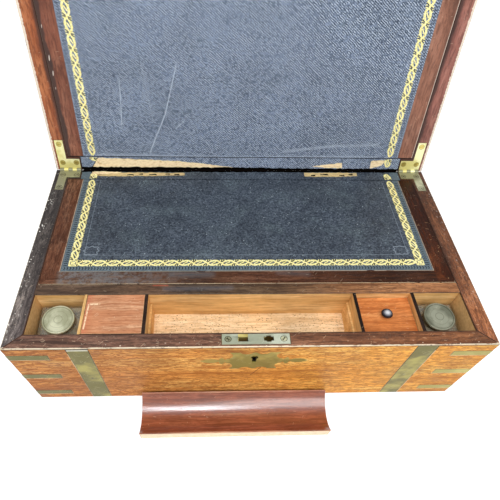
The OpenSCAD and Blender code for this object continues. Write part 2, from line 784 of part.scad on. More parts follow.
// Plate with the two hooks that enter the lock
module link_plate() color("gold") opened() on_lid_rim() {
    difference() {
        translate([0, 0, -plate_t]) linear_extrude(plate_t) plate_flat();
        plate_screw_places() screw_hole();
    }
    for (s = [-1, 1]) translate([lock_x + s * hook_x - hook_w / 2, hook_v - hook_t / 2, -plate_t / 2])
        difference() {
            cube([hook_w, hook_t, hook_h + plate_t / 2]);
            translate([-cut, -cut, plate_t / 2 + notch_z])
                cube([notch_depth + cut, hook_t + 2 * cut, notch_h]);
        }
}
module catch_screw() on_lid_rim() translate([catch_x, catch_v, 0]) children();
catch_screw_r = 1.2;
catch_head_r = 2.1;
catch_head_h = 0.35;
catch_head_z = catch_low + catch_t + catch_play;
module lid_screws() color("goldenrod") opened() {
    on_lid_rim() {
        plate_screw_places() screw();
        hinge_screw_places() screw();
    }
    catch_screw() {
        translate([0, 0, -screw_len]) cylinder(r = catch_screw_r, h = screw_len + catch_head_z);
        translate([0, 0, catch_head_z]) cylinder(r = catch_head_r, h = catch_head_h);
    }
}
module lid_hinge_leaves() color("gold") opened() on_lid_rim() both_sides() leaf(1);
// Turn button sunk in the rim, lying clear of the flap
module flap_catch() color("gold") opened() catch_screw() translate([0, 0, catch_low]) difference() {
    linear_extrude(catch_t) {
        square([catch_l - catch_w, catch_w], center = true);
        for (s = [-1, 1]) translate([s * (catch_l - catch_w) / 2, 0]) circle(catch_w / 2);
    }
    translate([0, 0, -cut]) cylinder(r = catch_screw_r + catch_play, h = catch_t + 2 * cut);
}

// Lid flap

function on_lid(v, n) = on_rim(v, 2 * rim_gap + n);
function lid_at(y, n) = rim_at(y, 2 * rim_gap + n);
function lid_flap_layer(low, top) = [
    on_lid(lid_flap_v, low), lid_at(lid_flap_back, low),
    lid_at(lid_flap_back, top), on_lid(lid_flap_v, top)
];
lid_border_low = catch_depth + catch_bed;
// The board is rebated round the leather for a border that is deeper than the catch's pocket
module lid_flap() color("saddlebrown") opened() {
    bar(-flap_x, flap_x, lid_flap_layer(lid_border_low, flap_t));
    bar(-leather_x, leather_x, [
        on_lid(lid_leather_v, skin_low), lid_at(lid_flap_back, skin_low),
        lid_at(lid_flap_back, lid_border_low + lap), on_lid(lid_leather_v, lid_border_low + lap)
    ]);
}
module lid_flap_border() color("brown") opened() difference() {
    bar(-flap_x, flap_x, lid_flap_layer(skin_drop, lid_border_low));
    on_lid_rim() translate([-leather_x, lid_leather_v, -flap_t]) cube([2 * leather_x, rim_len, 2 * flap_t]);
    catch_pocket();
}
module lid_leather() color("darkslategray") opened() bar(-leather_x, leather_x, [
    on_lid(lid_leather_v, skin_drop), lid_at(lid_flap_back, skin_drop),
    lid_at(lid_flap_back, skin_low), on_lid(lid_leather_v, skin_low)
]);

// Loose pieces

function cover_section(drop, t) = layer(inner_front + cover_play, pen_back - cover_play, drop, drop + t);
module left_cover() color("rosybrown")
    bar(-box_x - box_half + cover_play, -box_x + box_half - cover_play, cover_section(cover_drop, cover_t));
// Places the knob on the small lid's upper face
module knob_place() translate([box_x, pen_mid, rim_z(pen_mid) - small_lid_drop])
    rotate([-slope, 0, 0]) children();
stem_l = 3;
module small_lid() color("chocolate") difference() {
    bar(box_x - box_half + cover_play, box_x + box_half - cover_play,
        cover_section(small_lid_drop, small_lid_t));
    knob_place() translate([0, 0, -stem_l]) cylinder(r = knob_stem_d / 2, h = stem_l + cut);
}
// Heights of the knob's neck, lower edge, widest ring and shoulder, as shares of its own height
knob_rise = [0.35, 0.5, 0.65, 0.85];
knob_edge = 0.6;
module small_lid_knob() color("dimgray") knob_place() rotate_extrude() polygon([
    [0, -stem_l], [knob_stem_d / 2, -stem_l], [knob_stem_d / 2, knob_h * knob_rise[0]],
    [knob_d / 2 - knob_edge, knob_h * knob_rise[1]], [knob_d / 2, knob_h * knob_rise[2]],
    [knob_d / 2 - knob_edge, knob_h * knob_rise[3]], [knob_d / 4, knob_h], [0, knob_h]
]);
// Trough cut to an arc that leaves the lips
trough_h = tray_h - tray_floor;
trough_half = tray_d / 2 - tray_lip;
trough_r = (trough_half * trough_half + trough_h * trough_h) / (2 * trough_h);
module pen_tray() color("maroon") along_x(-tray_left - tray_w / 2, -tray_left + tray_w / 2)
    translate([front_y - tray_away - tray_d / 2, 0]) difference() {
        translate([-tray_d / 2, 0]) square([tray_d, tray_h]);
        translate([0, tray_floor + trough_r]) circle(trough_r, $fn = 96);
    }

module in_well(s) translate([s * well_x, pen_mid, well_floor_z + rest_gap]) children();
// Outline with its two upper corners bevelled, used upright and across
module bevelled(w, h, b) polygon([
    [-w / 2, 0], [w / 2, 0], [w / 2, h - b], [w / 2 - b, h], [b - w / 2, h], [-w / 2, h - b]
]);
// Bevel on the upright edges, and the depths at which the ink space narrows to the neck
glass_edge = 2;
ink_shoulder = 13;
ink_neck = 4;
module glass_plan() intersection() {
    square([glass_w, glass_d], center = true);
    rotate(45) square((glass_w + glass_d) / sqrt(2) - glass_edge * sqrt(2), center = true);
}
module glass() difference() {
    union() {
        intersection() {
            linear_extrude(glass_h) glass_plan();
            translate([0, glass_d, 0]) rotate([90, 0, 0]) linear_extrude(2 * glass_d)
                bevelled(glass_w, glass_h, glass_bevel);
            translate([-glass_w, 0, 0]) rotate([90, 0, 90]) linear_extrude(2 * glass_w)
                bevelled(glass_d, glass_h, glass_bevel);
        }
        translate([0, 0, glass_h - lap]) cylinder(d = neck_d, h = neck_h + lap);
    }
    rotate_extrude() polygon([
        [0, glass_floor], [ink_d / 2, glass_floor], [ink_d / 2, glass_h - ink_shoulder],
        [neck_bore / 2, glass_h - ink_neck], [neck_bore / 2, glass_h + neck_h + cut],
        [0, glass_h + neck_h + cut]
    ]);
}
collar_drop = 0.5;
module collar() translate([0, 0, glass_h + neck_h - collar_drop - collar_h]) difference() {
    cylinder(d = neck_d + 2 * collar_t, h = collar_h);
    translate([0, 0, -cut]) cylinder(d = neck_d, h = collar_h + 2 * cut);
}
// Cap with a narrow skirt, a disc that stands out over it and a shallow ring sunk near the disc's edge
cap_roof = 1.6;
cap_lift = 0.2;
disc_out = 2;
disc_t = 1.8;
disc_slope = 0.8;
cap_bevel = 0.5;
ring_r = 13.2;
ring_w = 0.8;
ring_deep = 0.25;
module cap_profile() polygon([
    [0, 0], [cap_d / 2 - disc_out, 0], [cap_d / 2 - disc_out, cap_h - disc_t - disc_slope],
    [cap_d / 2, cap_h - disc_t], [cap_d / 2, cap_h - cap_bevel], [cap_d / 2 - cap_bevel, cap_h],
    [ring_r + ring_w / 2 + ring_deep / 2, cap_h], [ring_r + ring_w / 2, cap_h - ring_deep],
    [ring_r - ring_w / 2, cap_h - ring_deep], [ring_r - ring_w / 2 - ring_deep / 2, cap_h],
    [0, cap_h]
]);
module cap() translate([0, 0, glass_h + neck_h + cap_lift + cap_roof - cap_h]) difference() {
    rotate_extrude() cap_profile();
    translate([0, 0, -cut]) cylinder(r = neck_d / 2 + collar_t + cap_play, h = cap_h - cap_roof + cut);
}
module left_inkwell() color("lightgray", 0.5) in_well(-1) glass();
module right_inkwell() color("lightgray", 0.5) in_well(1) glass();
module left_collar() color("goldenrod") in_well(-1) collar();
module right_collar() color("goldenrod") in_well(1) collar();
module left_cap() color("darkkhaki") in_well(-1) cap();
module right_cap() color("darkkhaki") in_well(1) cap();

base_front();
base_back();
base_left();
base_right();
base_bottom();
base_rim_front();
base_rim_sides();
pen_partition();
pen_rail();
pen_floor();
inkwell_floors();
inkwell_dividers();
box_dividers();
divider_caps();
tray_ledges();
cover_ledges();
base_flap_cleats();
base_hinge_leather();
escutcheon();
base_straps();
base_corner_strips();
lock_plate();
lock_case();
lock_bolt();
base_screws();
base_hinge_leaves();
hinge_pins();
base_flap();
base_flap_border();
base_leather();
lid_front();
lid_back();
lid_left();
lid_right();
lid_top();
lid_rim_front();
lid_rim_sides();
lid_flap_cleats();
lid_hinge_leather();
lid_straps();
lid_corner_strips();
link_plate();
lid_screws();
lid_hinge_leaves();
flap_catch();
lid_flap();
lid_flap_border();
lid_leather();
left_cover();
small_lid();
small_lid_knob();
pen_tray();
left_inkwell();
left_collar();
left_cap();
right_inkwell();
right_collar();
right_cap();
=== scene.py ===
"""Looks of an open Victorian writing box: worn woods, aged brass, tooled leather, glass and light."""
import json
import math
import random

import bmesh
import bpy
from mathutils import Matrix, Vector
from mathutils.geometry import tessellate_polygon

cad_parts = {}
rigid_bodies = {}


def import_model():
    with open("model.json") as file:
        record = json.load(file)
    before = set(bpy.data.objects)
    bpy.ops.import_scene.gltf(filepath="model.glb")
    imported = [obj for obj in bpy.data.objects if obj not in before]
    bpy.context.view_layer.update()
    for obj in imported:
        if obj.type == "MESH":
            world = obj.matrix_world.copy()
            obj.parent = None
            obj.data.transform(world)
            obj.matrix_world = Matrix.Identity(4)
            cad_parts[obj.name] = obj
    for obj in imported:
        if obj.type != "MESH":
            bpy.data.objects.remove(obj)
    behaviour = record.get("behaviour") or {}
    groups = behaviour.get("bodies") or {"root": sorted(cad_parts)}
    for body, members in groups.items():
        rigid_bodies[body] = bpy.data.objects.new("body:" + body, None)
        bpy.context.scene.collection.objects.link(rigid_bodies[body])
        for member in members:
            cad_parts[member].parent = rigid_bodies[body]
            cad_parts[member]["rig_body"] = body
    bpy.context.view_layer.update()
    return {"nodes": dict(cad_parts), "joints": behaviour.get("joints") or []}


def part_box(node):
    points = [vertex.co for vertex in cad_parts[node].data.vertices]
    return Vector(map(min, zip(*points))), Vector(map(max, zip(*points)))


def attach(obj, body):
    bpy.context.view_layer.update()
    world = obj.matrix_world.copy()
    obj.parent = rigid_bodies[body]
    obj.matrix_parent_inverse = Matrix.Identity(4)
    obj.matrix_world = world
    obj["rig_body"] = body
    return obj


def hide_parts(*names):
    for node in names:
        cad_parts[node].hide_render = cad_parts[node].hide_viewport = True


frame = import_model()

MM = 0.001
NODES = frame["nodes"]
LID_HINGE = next(joint for joint in frame["joints"] if joint["name"] == "lid_hinge")
HINGE = Vector(LID_HINGE["pos_m"])
LID_OPEN = math.radians(-LID_HINGE["range_deg"][0])
Y = Vector((0, 1, 0))
Z = Vector((0, 0, 1))


def span(node):
    """Lowest and highest corner of a CAD node in millimetres."""
    low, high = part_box(node)
    return low / MM, high / MM


# Places on the box in millimetres, most of them from the frame

SIDE = span("base_right")[1].x
INNER_SIDE = span("base_right")[0].x
FRONT = span("base_front")[0].y
INNER_FRONT = span("base_front")[1].y
BACK = span("base_back")[1].y
FLAP_FRONT = span("base_flap_border")[0].y
FLAP_SIDE = span("base_flap_border")[1].x
TRAY_FRONT = span("pen_tray")[0].y
STRAP_HALF = 10.0
STRAP_X = span("base_straps")[1].x - STRAP_HALF
STRAP_TOP = span("base_straps")[1].z
LOCK_X = sum(corner.x for corner in span("lock_plate")) / 2
KEYHOLE = 6.5
BLACK_REACH = 20.0
RAIL_HALF = span("base_hinge_leather")[1].x
BEYOND = 500.0

# Half width and front edge of the leathers with the lid shut, and the gold band's way in from their edge

FLAP_LEATHER = (194.0, -36.8)
LID_LEATHER = (194.0, -96.2)
INSET = 6.6


def rgba(colour):
    """A shader's colour from three display values of 0 to 255. Other colours and sockets stay as they are."""
    if not isinstance(colour, tuple) or len(colour) != 3:
        return colour
    levels = []
    for value in colour:
        share = value / 255
        levels.append(share / 12.92 if share < 0.04 else ((share + 0.055) / 1.055) ** 2.4)
    return (*levels, 1.0)


def put(socket, value):
    """Links another node's output to the socket, or gives it a value."""
    if isinstance(value, bpy.types.NodeSocket):
        socket.id_data.links.new(value, socket)
    else:
        socket.default_value = rgba(value) if socket.type == "RGBA" else value


def add_node(tree, kind, inputs, **settings):
    """A node of this kind, with its settings made and its inputs filled."""
    node = tree.nodes.new(kind)
    for name, value in settings.items():
        setattr(node, name, value)
    for name, value in inputs.items():
        put(node.inputs[name], value)
    return node


# Materials


class Shader:
    """A node material painted in coats. mm is the place on the shut box in millimetres."""

    def __init__(self, name, on_lid=False):
        self.material = bpy.data.materials.new(name)
        self.material.use_nodes = True
        self.tree = self.material.node_tree
        self.body = self.tree.nodes["Principled BSDF"]
        turn = Matrix.Rotation(LID_OPEN, 3, "X") if on_lid else Matrix.Identity(3)
        self.mm = self.add("ShaderNodeMapping", {
            "Vector": self.add("ShaderNodeTexCoord", {}, "Object"), "Location": (HINGE - turn @ HINGE) / MM,
            "Rotation": turn.to_euler(), "Scale": (1 / MM, 1 / MM, 1 / MM)})
        self.x, self.y, self.z = self.split(self.mm)
        self.aside = self.calc("ABSOLUTE", self.x)
        self.flat = self.join(self.x, self.y)
        self.colour = None

    def add(self, kind, inputs, output=0, **settings):
        return add_node(self.tree, kind, inputs, **settings).outputs[output]

    def split(self, vector):
        return tuple(add_node(self.tree, "ShaderNodeSeparateXYZ", {0: vector}).outputs)

    def join(self, x, y, z=0.0):
        return self.add("ShaderNodeCombineXYZ", {0: x, 1: y, 2: z})

    def calc(self, operation, first, *others):
        """The sum of this kind with each of the others in turn."""
        for other in others or (0.0,):
            first = self.add("ShaderNodeMath", {0: first, 1: other}, operation=operation)
        return first

    def times(self, *values):
        return self.calc("MULTIPLY", *values)

    def plus(self, first, second):
        return self.calc("ADD", first, second)

    def less(self, first, second):
        return self.calc("SUBTRACT", first, second)

    def most(self, *values):
        return self.calc("MAXIMUM", *values)

    def off(self, value, place):
        """How far value is from place."""
        return self.calc("ABSOLUTE", self.less(value, place))

    def reach(self, over, along):
        """Length of the way that goes over and along."""
        return self.calc("SQRT", self.plus(self.calc("POWER", over, 2), self.calc("POWER", along, 2)))

    def vector(self, operation, first, second, output="Vector"):
        return self.add("ShaderNodeVectorMath", {0: first, 1: second}, output, operation=operation)

    def turned(self, vector, degrees):
        return self.add("ShaderNodeMapping", {"Vector": vector, "Rotation": (0, 0, math.radians(degrees))})

    def noise(self, vector, scale, detail=3.0, rough=0.5, output=0):
        """Cloud noise of about 1 / scale millimetres."""
        values = {"Vector": vector, "Scale": scale, "Detail": detail, "Roughness": rough}
        return self.add("ShaderNodeTexNoise", values, output)

    def cloud(self, scale, detail=3.0, rough=0.5):
        return self.noise(self.mm, scale, detail, rough)

    def swayed(self, vector, scale, reach):
        """The vector moved about by a coloured cloud, up to half of reach to each side."""
        swing = self.vector("SUBTRACT", self.noise(self.mm, scale, 2.0, output=1), (0.5, 0.5, 0.5))
        return self.vector("ADD", vector, self.vector("MULTIPLY", swing, (reach, reach, reach)))

    def level(self, value, low, high, at_low, at_high):
        """Goes smoothly from at_low, where value is low, to at_high, where it is high."""
        values = {"Value": value, "From Min": low, "From Max": high, "To Min": at_low, "To Max": at_high}
        return self.add("ShaderNodeMapRange", values, interpolation_type="SMOOTHSTEP")

    def rise(self, value, low, high, top=1.0):
        return self.level(value, low, high, 0.0, top)

    def fall(self, value, low, high, top=1.0):
        return self.level(value, low, high, top, 0.0)

    def ramp(self, factor, *stops):
        node = add_node(self.tree, "ShaderNodeValToRGB", {0: factor})
        band = node.color_ramp.elements
        while len(band) < len(stops):
            band.new(0.5)
        for element, (place, colour) in zip(band, stops):
            element.position = place
            element.color = rgba(colour)
        return node.outputs[0]

    def mix(self, factor, under, over, mode="MIX"):
        return self.add("ShaderNodeMix", {0: factor, 6: under, 7: over}, 2, data_type="RGBA", blend_type=mode)

    def tinted(self, colour, tint):
        return self.mix(1.0, colour, tint, "MULTIPLY")

    def paint(self, colour, *shares):
        """Lays on a coat of colour, as thick as all shares multiplied."""
        self.colour = self.mix(self.times(*shares) if len(shares) > 1 else shares[0], self.colour, colour)

    def dye(self, tint, share=1.0):
        """Multiplies the colour by tint, as far as share."""
        self.colour = self.mix(share, self.colour, tint, "MULTIPLY")

    def shade(self, value):
        self.dye(self.join(value, value, value))

    def marks(self, flat, degrees, length, width, share, seed):
        """Scattered short strokes, 1 inside a stroke, on the x and y of flat."""
        reach = 0.16
        start = self.vector("ADD", self.turned(flat, degrees), (seed * 31.7, seed * 17.3, 0))
        cells = self.vector("MULTIPLY", start, (reach / length, reach / width, 0))
        found = add_node(self.tree, "ShaderNodeTexVoronoi", {"Scale": 1.0}, voronoi_dimensions="2D")
        put(found.inputs["Vector"], cells)
        chance, size, _ = self.split(found.outputs["Color"])
        there = self.calc("LESS_THAN", chance, share)
        inside = self.calc("LESS_THAN", found.outputs["Distance"], self.times(self.plus(size, 0.3), reach))
        return self.times(there, inside)

    def scatter(self, flat, *kinds):
        """Strokes of several kinds together."""
        return self.most(*[self.marks(flat, *kind) for kind in kinds])

    def streak(self, flat, start, end, width):
        """1 along the line from start to end on the x and y of flat, fading to 0 at width from it."""
        run = Vector((end[0] - start[0], end[1] - start[1], 0))
        local = self.vector("SUBTRACT", flat, (start[0], start[1], 0))
        along = self.vector("DOT_PRODUCT", local, run / run.length_squared, "Value")
        share = self.add("ShaderNodeClamp", {0: along})
        nearest = self.add("ShaderNodeVectorMath", {0: run, "Scale": share}, operation="SCALE")
        away = self.add("ShaderNodeVectorMath", {0: self.vector("SUBTRACT", local, nearest)}, "Value",
                        operation="LENGTH")
        return self.fall(away, 0.0, width)

    def finish(self, roughness, height, depth, shine=0.5, metal=0.0):
        bump = self.add("ShaderNodeBump", {"Distance": depth * MM, "Height": height})
        for name, value in (("Base Color", self.colour), ("Roughness", roughness), ("Normal", bump),
                            ("Specular IOR Level", shine), ("Metallic", metal)):
            put(self.body.inputs[name], value)
        return self.material


# Coats of single pieces


def hinge_reach(s):
    """Distance from the hinge line in millimetres."""
    return s.reach(s.less(s.y, HINGE.y / MM), s.less(s.z, HINGE.z / MM))


def hinge_black_shade(s):
    """Painted shade: the wood near the hinge line, beside the torn leather and inside the box only, is painted
    black for the crack between the halves.
    """
    near = s.fall(hinge_reach(s), BLACK_REACH - 1, BLACK_REACH + 1)
    s.paint(PAINTED_SHADE_BLACK, near, s.fall(s.y, BACK - 0.7, BACK - 0.4))


def bare_pine(s):
    return s.mix(s.cloud(0.3, 4.0), PINE[0], PINE[2])


def pine_inside(s):
    """The walls of the pen section show pale inside the carcass."""
    side = s.fall(s.aside, INNER_SIDE + 0.4, INNER_SIDE + 0.8)
    s.paint(bare_pine(s), side, s.rise(s.y, INNER_FRONT - 0.4, INNER_FRONT - 0.2))


def front_shade_and_keyhole(s):
    """The wood is painted darker towards the left as shade away from the key lamp, the keyhole's bore is
    painted black as shade, and a crack runs down from it.
    """
    s.dye(s.mix(s.rise(s.x, -180, -40), (0.67, 0.56, 0.47, 1), (0.94, 0.87, 0.8, 1)))
    # Painted shade in the keyhole's bore
    bore = s.fall(s.off(s.x, LOCK_X), KEYHOLE - 0.5, KEYHOLE + 0.5)
    s.paint(PAINTED_SHADE_BLACK, s.rise(s.y, FRONT + 1.1, FRONT + 1.3), bore)
    s.paint((88, 48, 24), s.streak(s.join(s.x, s.z), (9.9, 80.7), (-0.5, 57.5), 0.7))
    s.paint(bare_pine(s), s.rise(s.y, INNER_FRONT - 0.6, INNER_FRONT - 0.3))


def rim_specks_and_shade(s):
    """White specks along the outer edge, painted shade along the inner edge beside the gap, and lighter
    towards the front and darker towards the back.
    """
    specks = s.scatter(s.flat, (20, 0.8, 0.6, 0.45, 4), (70, 1.4, 0.5, 0.35, 5))
    cluster = s.times(s.rise(s.cloud(0.05), 0.38, 0.54), s.level(s.x, -200, -100, 1.0, 0.3))
    s.shade(s.times(s.level(s.y, -60, 110, 1.08, 0.64), s.level(s.y, -120, -36, 1.8, 1.0)))
    s.paint((226, 220, 210), specks, s.rise(s.aside, SIDE - 11, SIDE - 2), cluster)
    # Painted shade along the inner edge, beside the gap
    s.paint((34, 24, 22), s.fall(s.aside, INNER_SIDE + 0.2, INNER_SIDE + 1.4, 0.5))


def lid_rim_shade_and_wear(s):
    """Painted shade gathers along the rim's inner edge, and the outer edge is rubbed pale."""
    # Painted shade along the inner edge
    wander = s.times(s.less(s.cloud(0.05), 0.5), 6.0)
    s.paint((54, 38, 34), s.fall(s.plus(s.aside, wander), INNER_SIDE + 1.5, INNER_SIDE + 5.0, 0.85))
    frayed = s.plus(s.aside, s.times(s.cloud(0.4), 3.0))
    s.paint((236, 222, 202), s.rise(frayed, SIDE - 1.4, SIDE - 0.6, 0.85))


def lid_border_shade_and_highlight(s):
    """The border's outer edge is painted dark as shade on the left, with pale chips there, and carries a pale
    painted highlight on the right.
    """
    # Painted shade along the left outer edge
    wander = s.times(s.less(s.cloud(0.04), 0.5), 8.0)
    s.paint((58, 44, 40), s.fall(s.plus(s.x, wander), 3.1 - FLAP_SIDE, 5.6 - FLAP_SIDE, 0.88))
    edge_zone = s.fall(s.x, 3.6 - FLAP_SIDE, 6.6 - FLAP_SIDE)
    s.paint((190, 176, 164), edge_zone, s.marks(s.flat, 82, 2.5, 0.5, 0.3, 6))
    # Painted highlight along the right outer edge
    s.paint((206, 186, 170), s.rise(s.x, FLAP_SIDE - 1.2, FLAP_SIDE - 0.7, 0.8))


def scratched_rim(s):
    """Scratches gather beside the lock plate, and the inner edge is darker."""
    s.dye((1.2, 1.24, 1.18, 1))
    cuts = s.scatter(s.flat, (24, 5.0, 0.3, 0.25, 4), (-38, 3.0, 0.3, 0.2, 5))
    s.paint((176, 150, 128), cuts, s.level(s.aside, 34, 80, 1.0, 0.1), 0.55)
    s.paint((238, 220, 190), s.fall(s.y, FRONT + 0.8, FRONT + 1.4), s.rise(s.cloud(0.1, 4.0, 0.7), 0.38, 0.5))
    s.paint((224, 206, 184), s.marks(s.flat, 10, 0.7, 0.5, 0.12, 7), s.fall(s.y, FRONT + 1, FRONT + 8))
    s.paint((30, 20, 18), s.rise(s.y, INNER_FRONT - 2.5, INNER_FRONT - 0.4, 0.7))


def flap_front(s):
    """Painted highlights along the leather's edge and the flap's front edge, and a painted reflection of the
    lid's leather in the polish.
    """
    side, front = FLAP_LEATHER
    left = -side
    s.dye((0.62, 0.6, 0.58, 1), s.fall(s.x, left - 3, left))
    along = s.mix(s.rise(s.y, -45, 70), (2.0, 1.6, 1.15, 1), (0.85, 0.62, 0.5, 1))
    s.dye(along, s.rise(s.x, side, side + 3))
    # Painted highlight: a pale line just outside the leather
    beyond = s.most(s.less(s.aside, side), s.less(front, s.y))
    s.paint((196, 180, 158), s.fall(beyond, 0.8, 1.2, 0.7), s.rise(s.cloud(0.1), 0.3, 0.45))
    # Painted highlight along the flap's front edge
    line = s.fall(s.y, FLAP_FRONT + 0.2, FLAP_FRONT + 0.8, 0.75)
    s.paint((186, 140, 92), line, s.rise(s.cloud(0.06, 2.0), 0.35, 0.5))
    dull = s.times(s.fall(s.y, -38, -36), s.rise(s.x, left - 5, left), s.fall(s.x, -60, 20))
    s.dye((0.62, 0.76, 0.82, 1), dull)
    s.paint((112, 110, 110), s.fall(s.x, -170, -30, 0.75), s.fall(s.y, -38, -34),
            s.rise(s.cloud(0.25, 4.0, 0.7), 0.36, 0.6), s.rise(s.x, left - 5, left + 4))
    # Painted reflection of the lid's leather: cold streaks on the front of the border
    for start, end, width, strength in (((-80, -42), (-40, -42), 7.0, 0.3), ((30, -40), (60, -42), 6.0, 0.2)):
        s.paint((96, 106, 112), s.streak(s.flat, start, end, width), strength)


def chipped_cover(s):
    """Cream chips at the far left corner and a redder end."""
    s.paint((190, 104, 76), s.fall(s.x, -162, -152, 0.55))
    chips = s.most(s.streak(s.flat, (-157, -79.6), (-149, -79.2), 1.9),
                   s.streak(s.flat, (-158.6, -80), (-159.4, -108), 1.3))
    s.paint((238, 208, 170), chips, s.rise(s.cloud(0.6), 0.35, 0.5))


def stippled_floor(s):
    """Rough wood full of dark specks."""
    specks = s.scatter(s.flat, (4, 0.8, 0.42, 0.42, 7), (-6, 0.5, 0.36, 0.5, 8))
    s.paint((122, 84, 48), specks, s.level(s.cloud(0.06), 0.35, 0.6, 0.35, 0.85))


def sappy_front(s):
    """The tray's near edge is pale sapwood."""
    pale = s.mix(s.cloud(0.2), (206, 160, 104), (250, 230, 178))
    s.paint(pale, s.fall(s.y, TRAY_FRONT + 0.3, TRAY_FRONT + 0.5))


def strap_dirt(s):
    """A nail mark on the left strap, and dirt along both edges of the straps."""
    left = s.calc("LESS_THAN", s.x, 0.0)
    for down, colour in ((3.6, (226, 222, 200)), (1.8, (20, 14, 10))):
        s.paint(colour, left, s.rise(s.z, STRAP_TOP - down, STRAP_TOP - down + 0.2))
    s.paint((54, 42, 24), s.streak(s.join(s.x, s.z), (-162.3, 54.6), (-162.3, 55.6), 1.8))
    s.paint((204, 188, 96), s.rise(s.less(s.x, STRAP_X), STRAP_HALF + 0.3, STRAP_HALF + 0.7, 0.5))
    off = s.off(s.aside, STRAP_X)
    beside = s.fall(off, STRAP_HALF + 0.2, STRAP_HALF + 0.4)
    s.paint((62, 50, 26), s.rise(off, STRAP_HALF - 1, STRAP_HALF, 0.6), beside)


def rail_reflection_and_stain(s):
    """A painted reflection of the lid's leather: the middle darkened to a cold grey-blue and a cold bright
    smear where the light strikes the polish; a red stain beside it.
    """
    # Painted reflection: the middle of the rail darkened to a cold grey-blue
    ends = s.most(s.fall(s.x, -110, -60), s.rise(s.x, 30, 120))
    s.dye(s.mix(ends, (0.5, 0.62, 0.72, 1), (1, 1, 1, 1)))
    s.paint((84, 96, 112), s.streak(s.flat, (-86, -61), (-20, -60), 5.0), 0.25)
    s.paint((176, 70, 44), s.streak(s.flat, (-98, -56.5), (-84, -56.5), 1.5), 0.5)


# Kinds of material


def wood(name, tones, along="X", on_lid=False, right_tones=None, figure=0.06, waves=7.0, pores=0.5, dashes=0.0,
         veins=0.0, gloss=(0.3, 0.5), dust=0.0, dents=0.12, polish=0.3, local=None, mitred=None):
    """Polished or bare timber. tones run dark, middle, light, and right_tones hold at high x.

    mitred is the half width and front of the leather inside a mitred border, whose sides have upright grain.
    """
    s = Shader(name, on_lid)
    if mitred is not None:
        upright = s.calc("GREATER_THAN", s.less(s.aside, mitred[0]), s.less(mitred[1], s.y))

    def stretched(share):
        if mitred is None:
            return {"X": (share, 1, 1), "Y": (1, share, 1)}[along]
        return s.join(s.level(upright, 0.0, 1.0, share, 1.0), s.level(upright, 0.0, 1.0, 1.0, share), 1.0)

    waved = s.swayed(s.mm, 0.012, waves)
    grain = s.vector("MULTIPLY", waved, stretched(0.07))
    bands = s.noise(grain, figure, 5.0, 0.62)
    streaks = s.noise(grain, 0.45, 3.0, 0.6)
    if right_tones is not None:
        to_right = s.rise(s.x, -180, 200)
        tones = [s.mix(to_right, tone, other) for tone, other in zip(tones, right_tones)]
    dark, middle, light = tones
    brown = s.mix(0.3, dark, middle)
    low = s.mix(s.rise(bands, 0.3, 0.48), dark, middle)
    s.colour = s.mix(s.rise(bands, 0.48, 0.72), low, light)
    s.paint(brown, s.rise(streaks, 0.46, 0.62, 0.7))
    s.paint(light, s.fall(streaks, 0.3, 0.42, 0.35))
    if dashes:
        dashed = s.vector("MULTIPLY", waved, stretched(0.22))
        dash = s.rise(s.noise(dashed, 0.5, 3.0, 0.6), 0.53, 0.62, dashes)
        s.paint(s.tinted(dark, (0.7, 0.62, 0.55, 1)), dash)
    if veins:
        wavy = s.vector("MULTIPLY", s.swayed(waved, 0.07, 5), stretched(0.16))
        for scale, shift in ((0.2, 3.0), (0.34, 40.0)):
            field = s.noise(s.vector("ADD", wavy, (shift, shift, shift)), scale, 2.0)
            s.paint(brown, s.fall(s.off(field, 0.5), 0.01, 0.035, veins))
    hole = s.rise(s.noise(grain, 1.7, 2.0, 0.6), 0.58, 0.7, pores)
    s.paint(s.tinted(dark, (0.5, 0.45, 0.42, 1)), hole)
    cloud = s.cloud(0.02, 4.0, 0.6)
    s.shade(s.level(cloud, 0.3, 0.7, 0.84, 1.14))
    flat = s.join(s.x, s.plus(s.y, s.z)) if along == "X" else s.join(s.plus(s.x, s.z), s.y)
    nicks = s.scatter(flat, (12, 1.5, 0.3, dents, 1), (-44, 2.0, 0.25, dents * 0.7, 2),
                      (71, 0.5, 0.45, dents * 0.6, 3))
    s.paint(s.mix(0.5, light, (214, 190, 160)), nicks, 0.4)
    if dust:
        s.paint((150, 142, 136), s.rise(s.cloud(0.9, 4.0, 0.7), 0.5, 0.68),
                s.rise(s.cloud(0.03), 0.42, 0.6, dust))
    if local is not None:
        local(s)
    rough = s.level(s.plus(streaks, s.times(cloud, 0.6)), 0.55, 1.0, *gloss)
    return s.finish(rough, s.less(s.times(streaks, 0.4), s.plus(hole, nicks)), 0.08, polish)


def worn_edge(name, dark, pale, on_lid=False, everywhere=0.0, dark_above=BEYOND, dark_behind=BEYOND):
    """Rounded arrises: pale where the outside is rubbed, dark inside, above a height and behind a y, and
    painted black as shade near the hinge line.
    """
    s = Shader(name, on_lid)
    rubbed = s.rise(s.cloud(0.12, 4.0, 0.65), 0.3, 0.44)
    outside = s.most(s.rise(s.aside, SIDE - 3, SIDE - 1.5), s.fall(s.y, FRONT + 1.5, FRONT + 3), everywhere)
    below = s.fall(s.z, dark_above - 1, dark_above)
    before = s.fall(s.y, dark_behind - 1, dark_behind)
    fine = s.cloud(0.9)
    s.colour = dark
    s.paint(s.mix(fine, pale, (238, 222, 196)), rubbed, outside, below, before)
    # Painted shade: black near the hinge line
    s.paint(PAINTED_SHADE_BLACK, s.fall(hinge_reach(s), 5.0, 7.0))
    return s.finish(s.level(fine, 0.3, 0.7, 0.4, 0.6), fine, 0.05, 0.15)


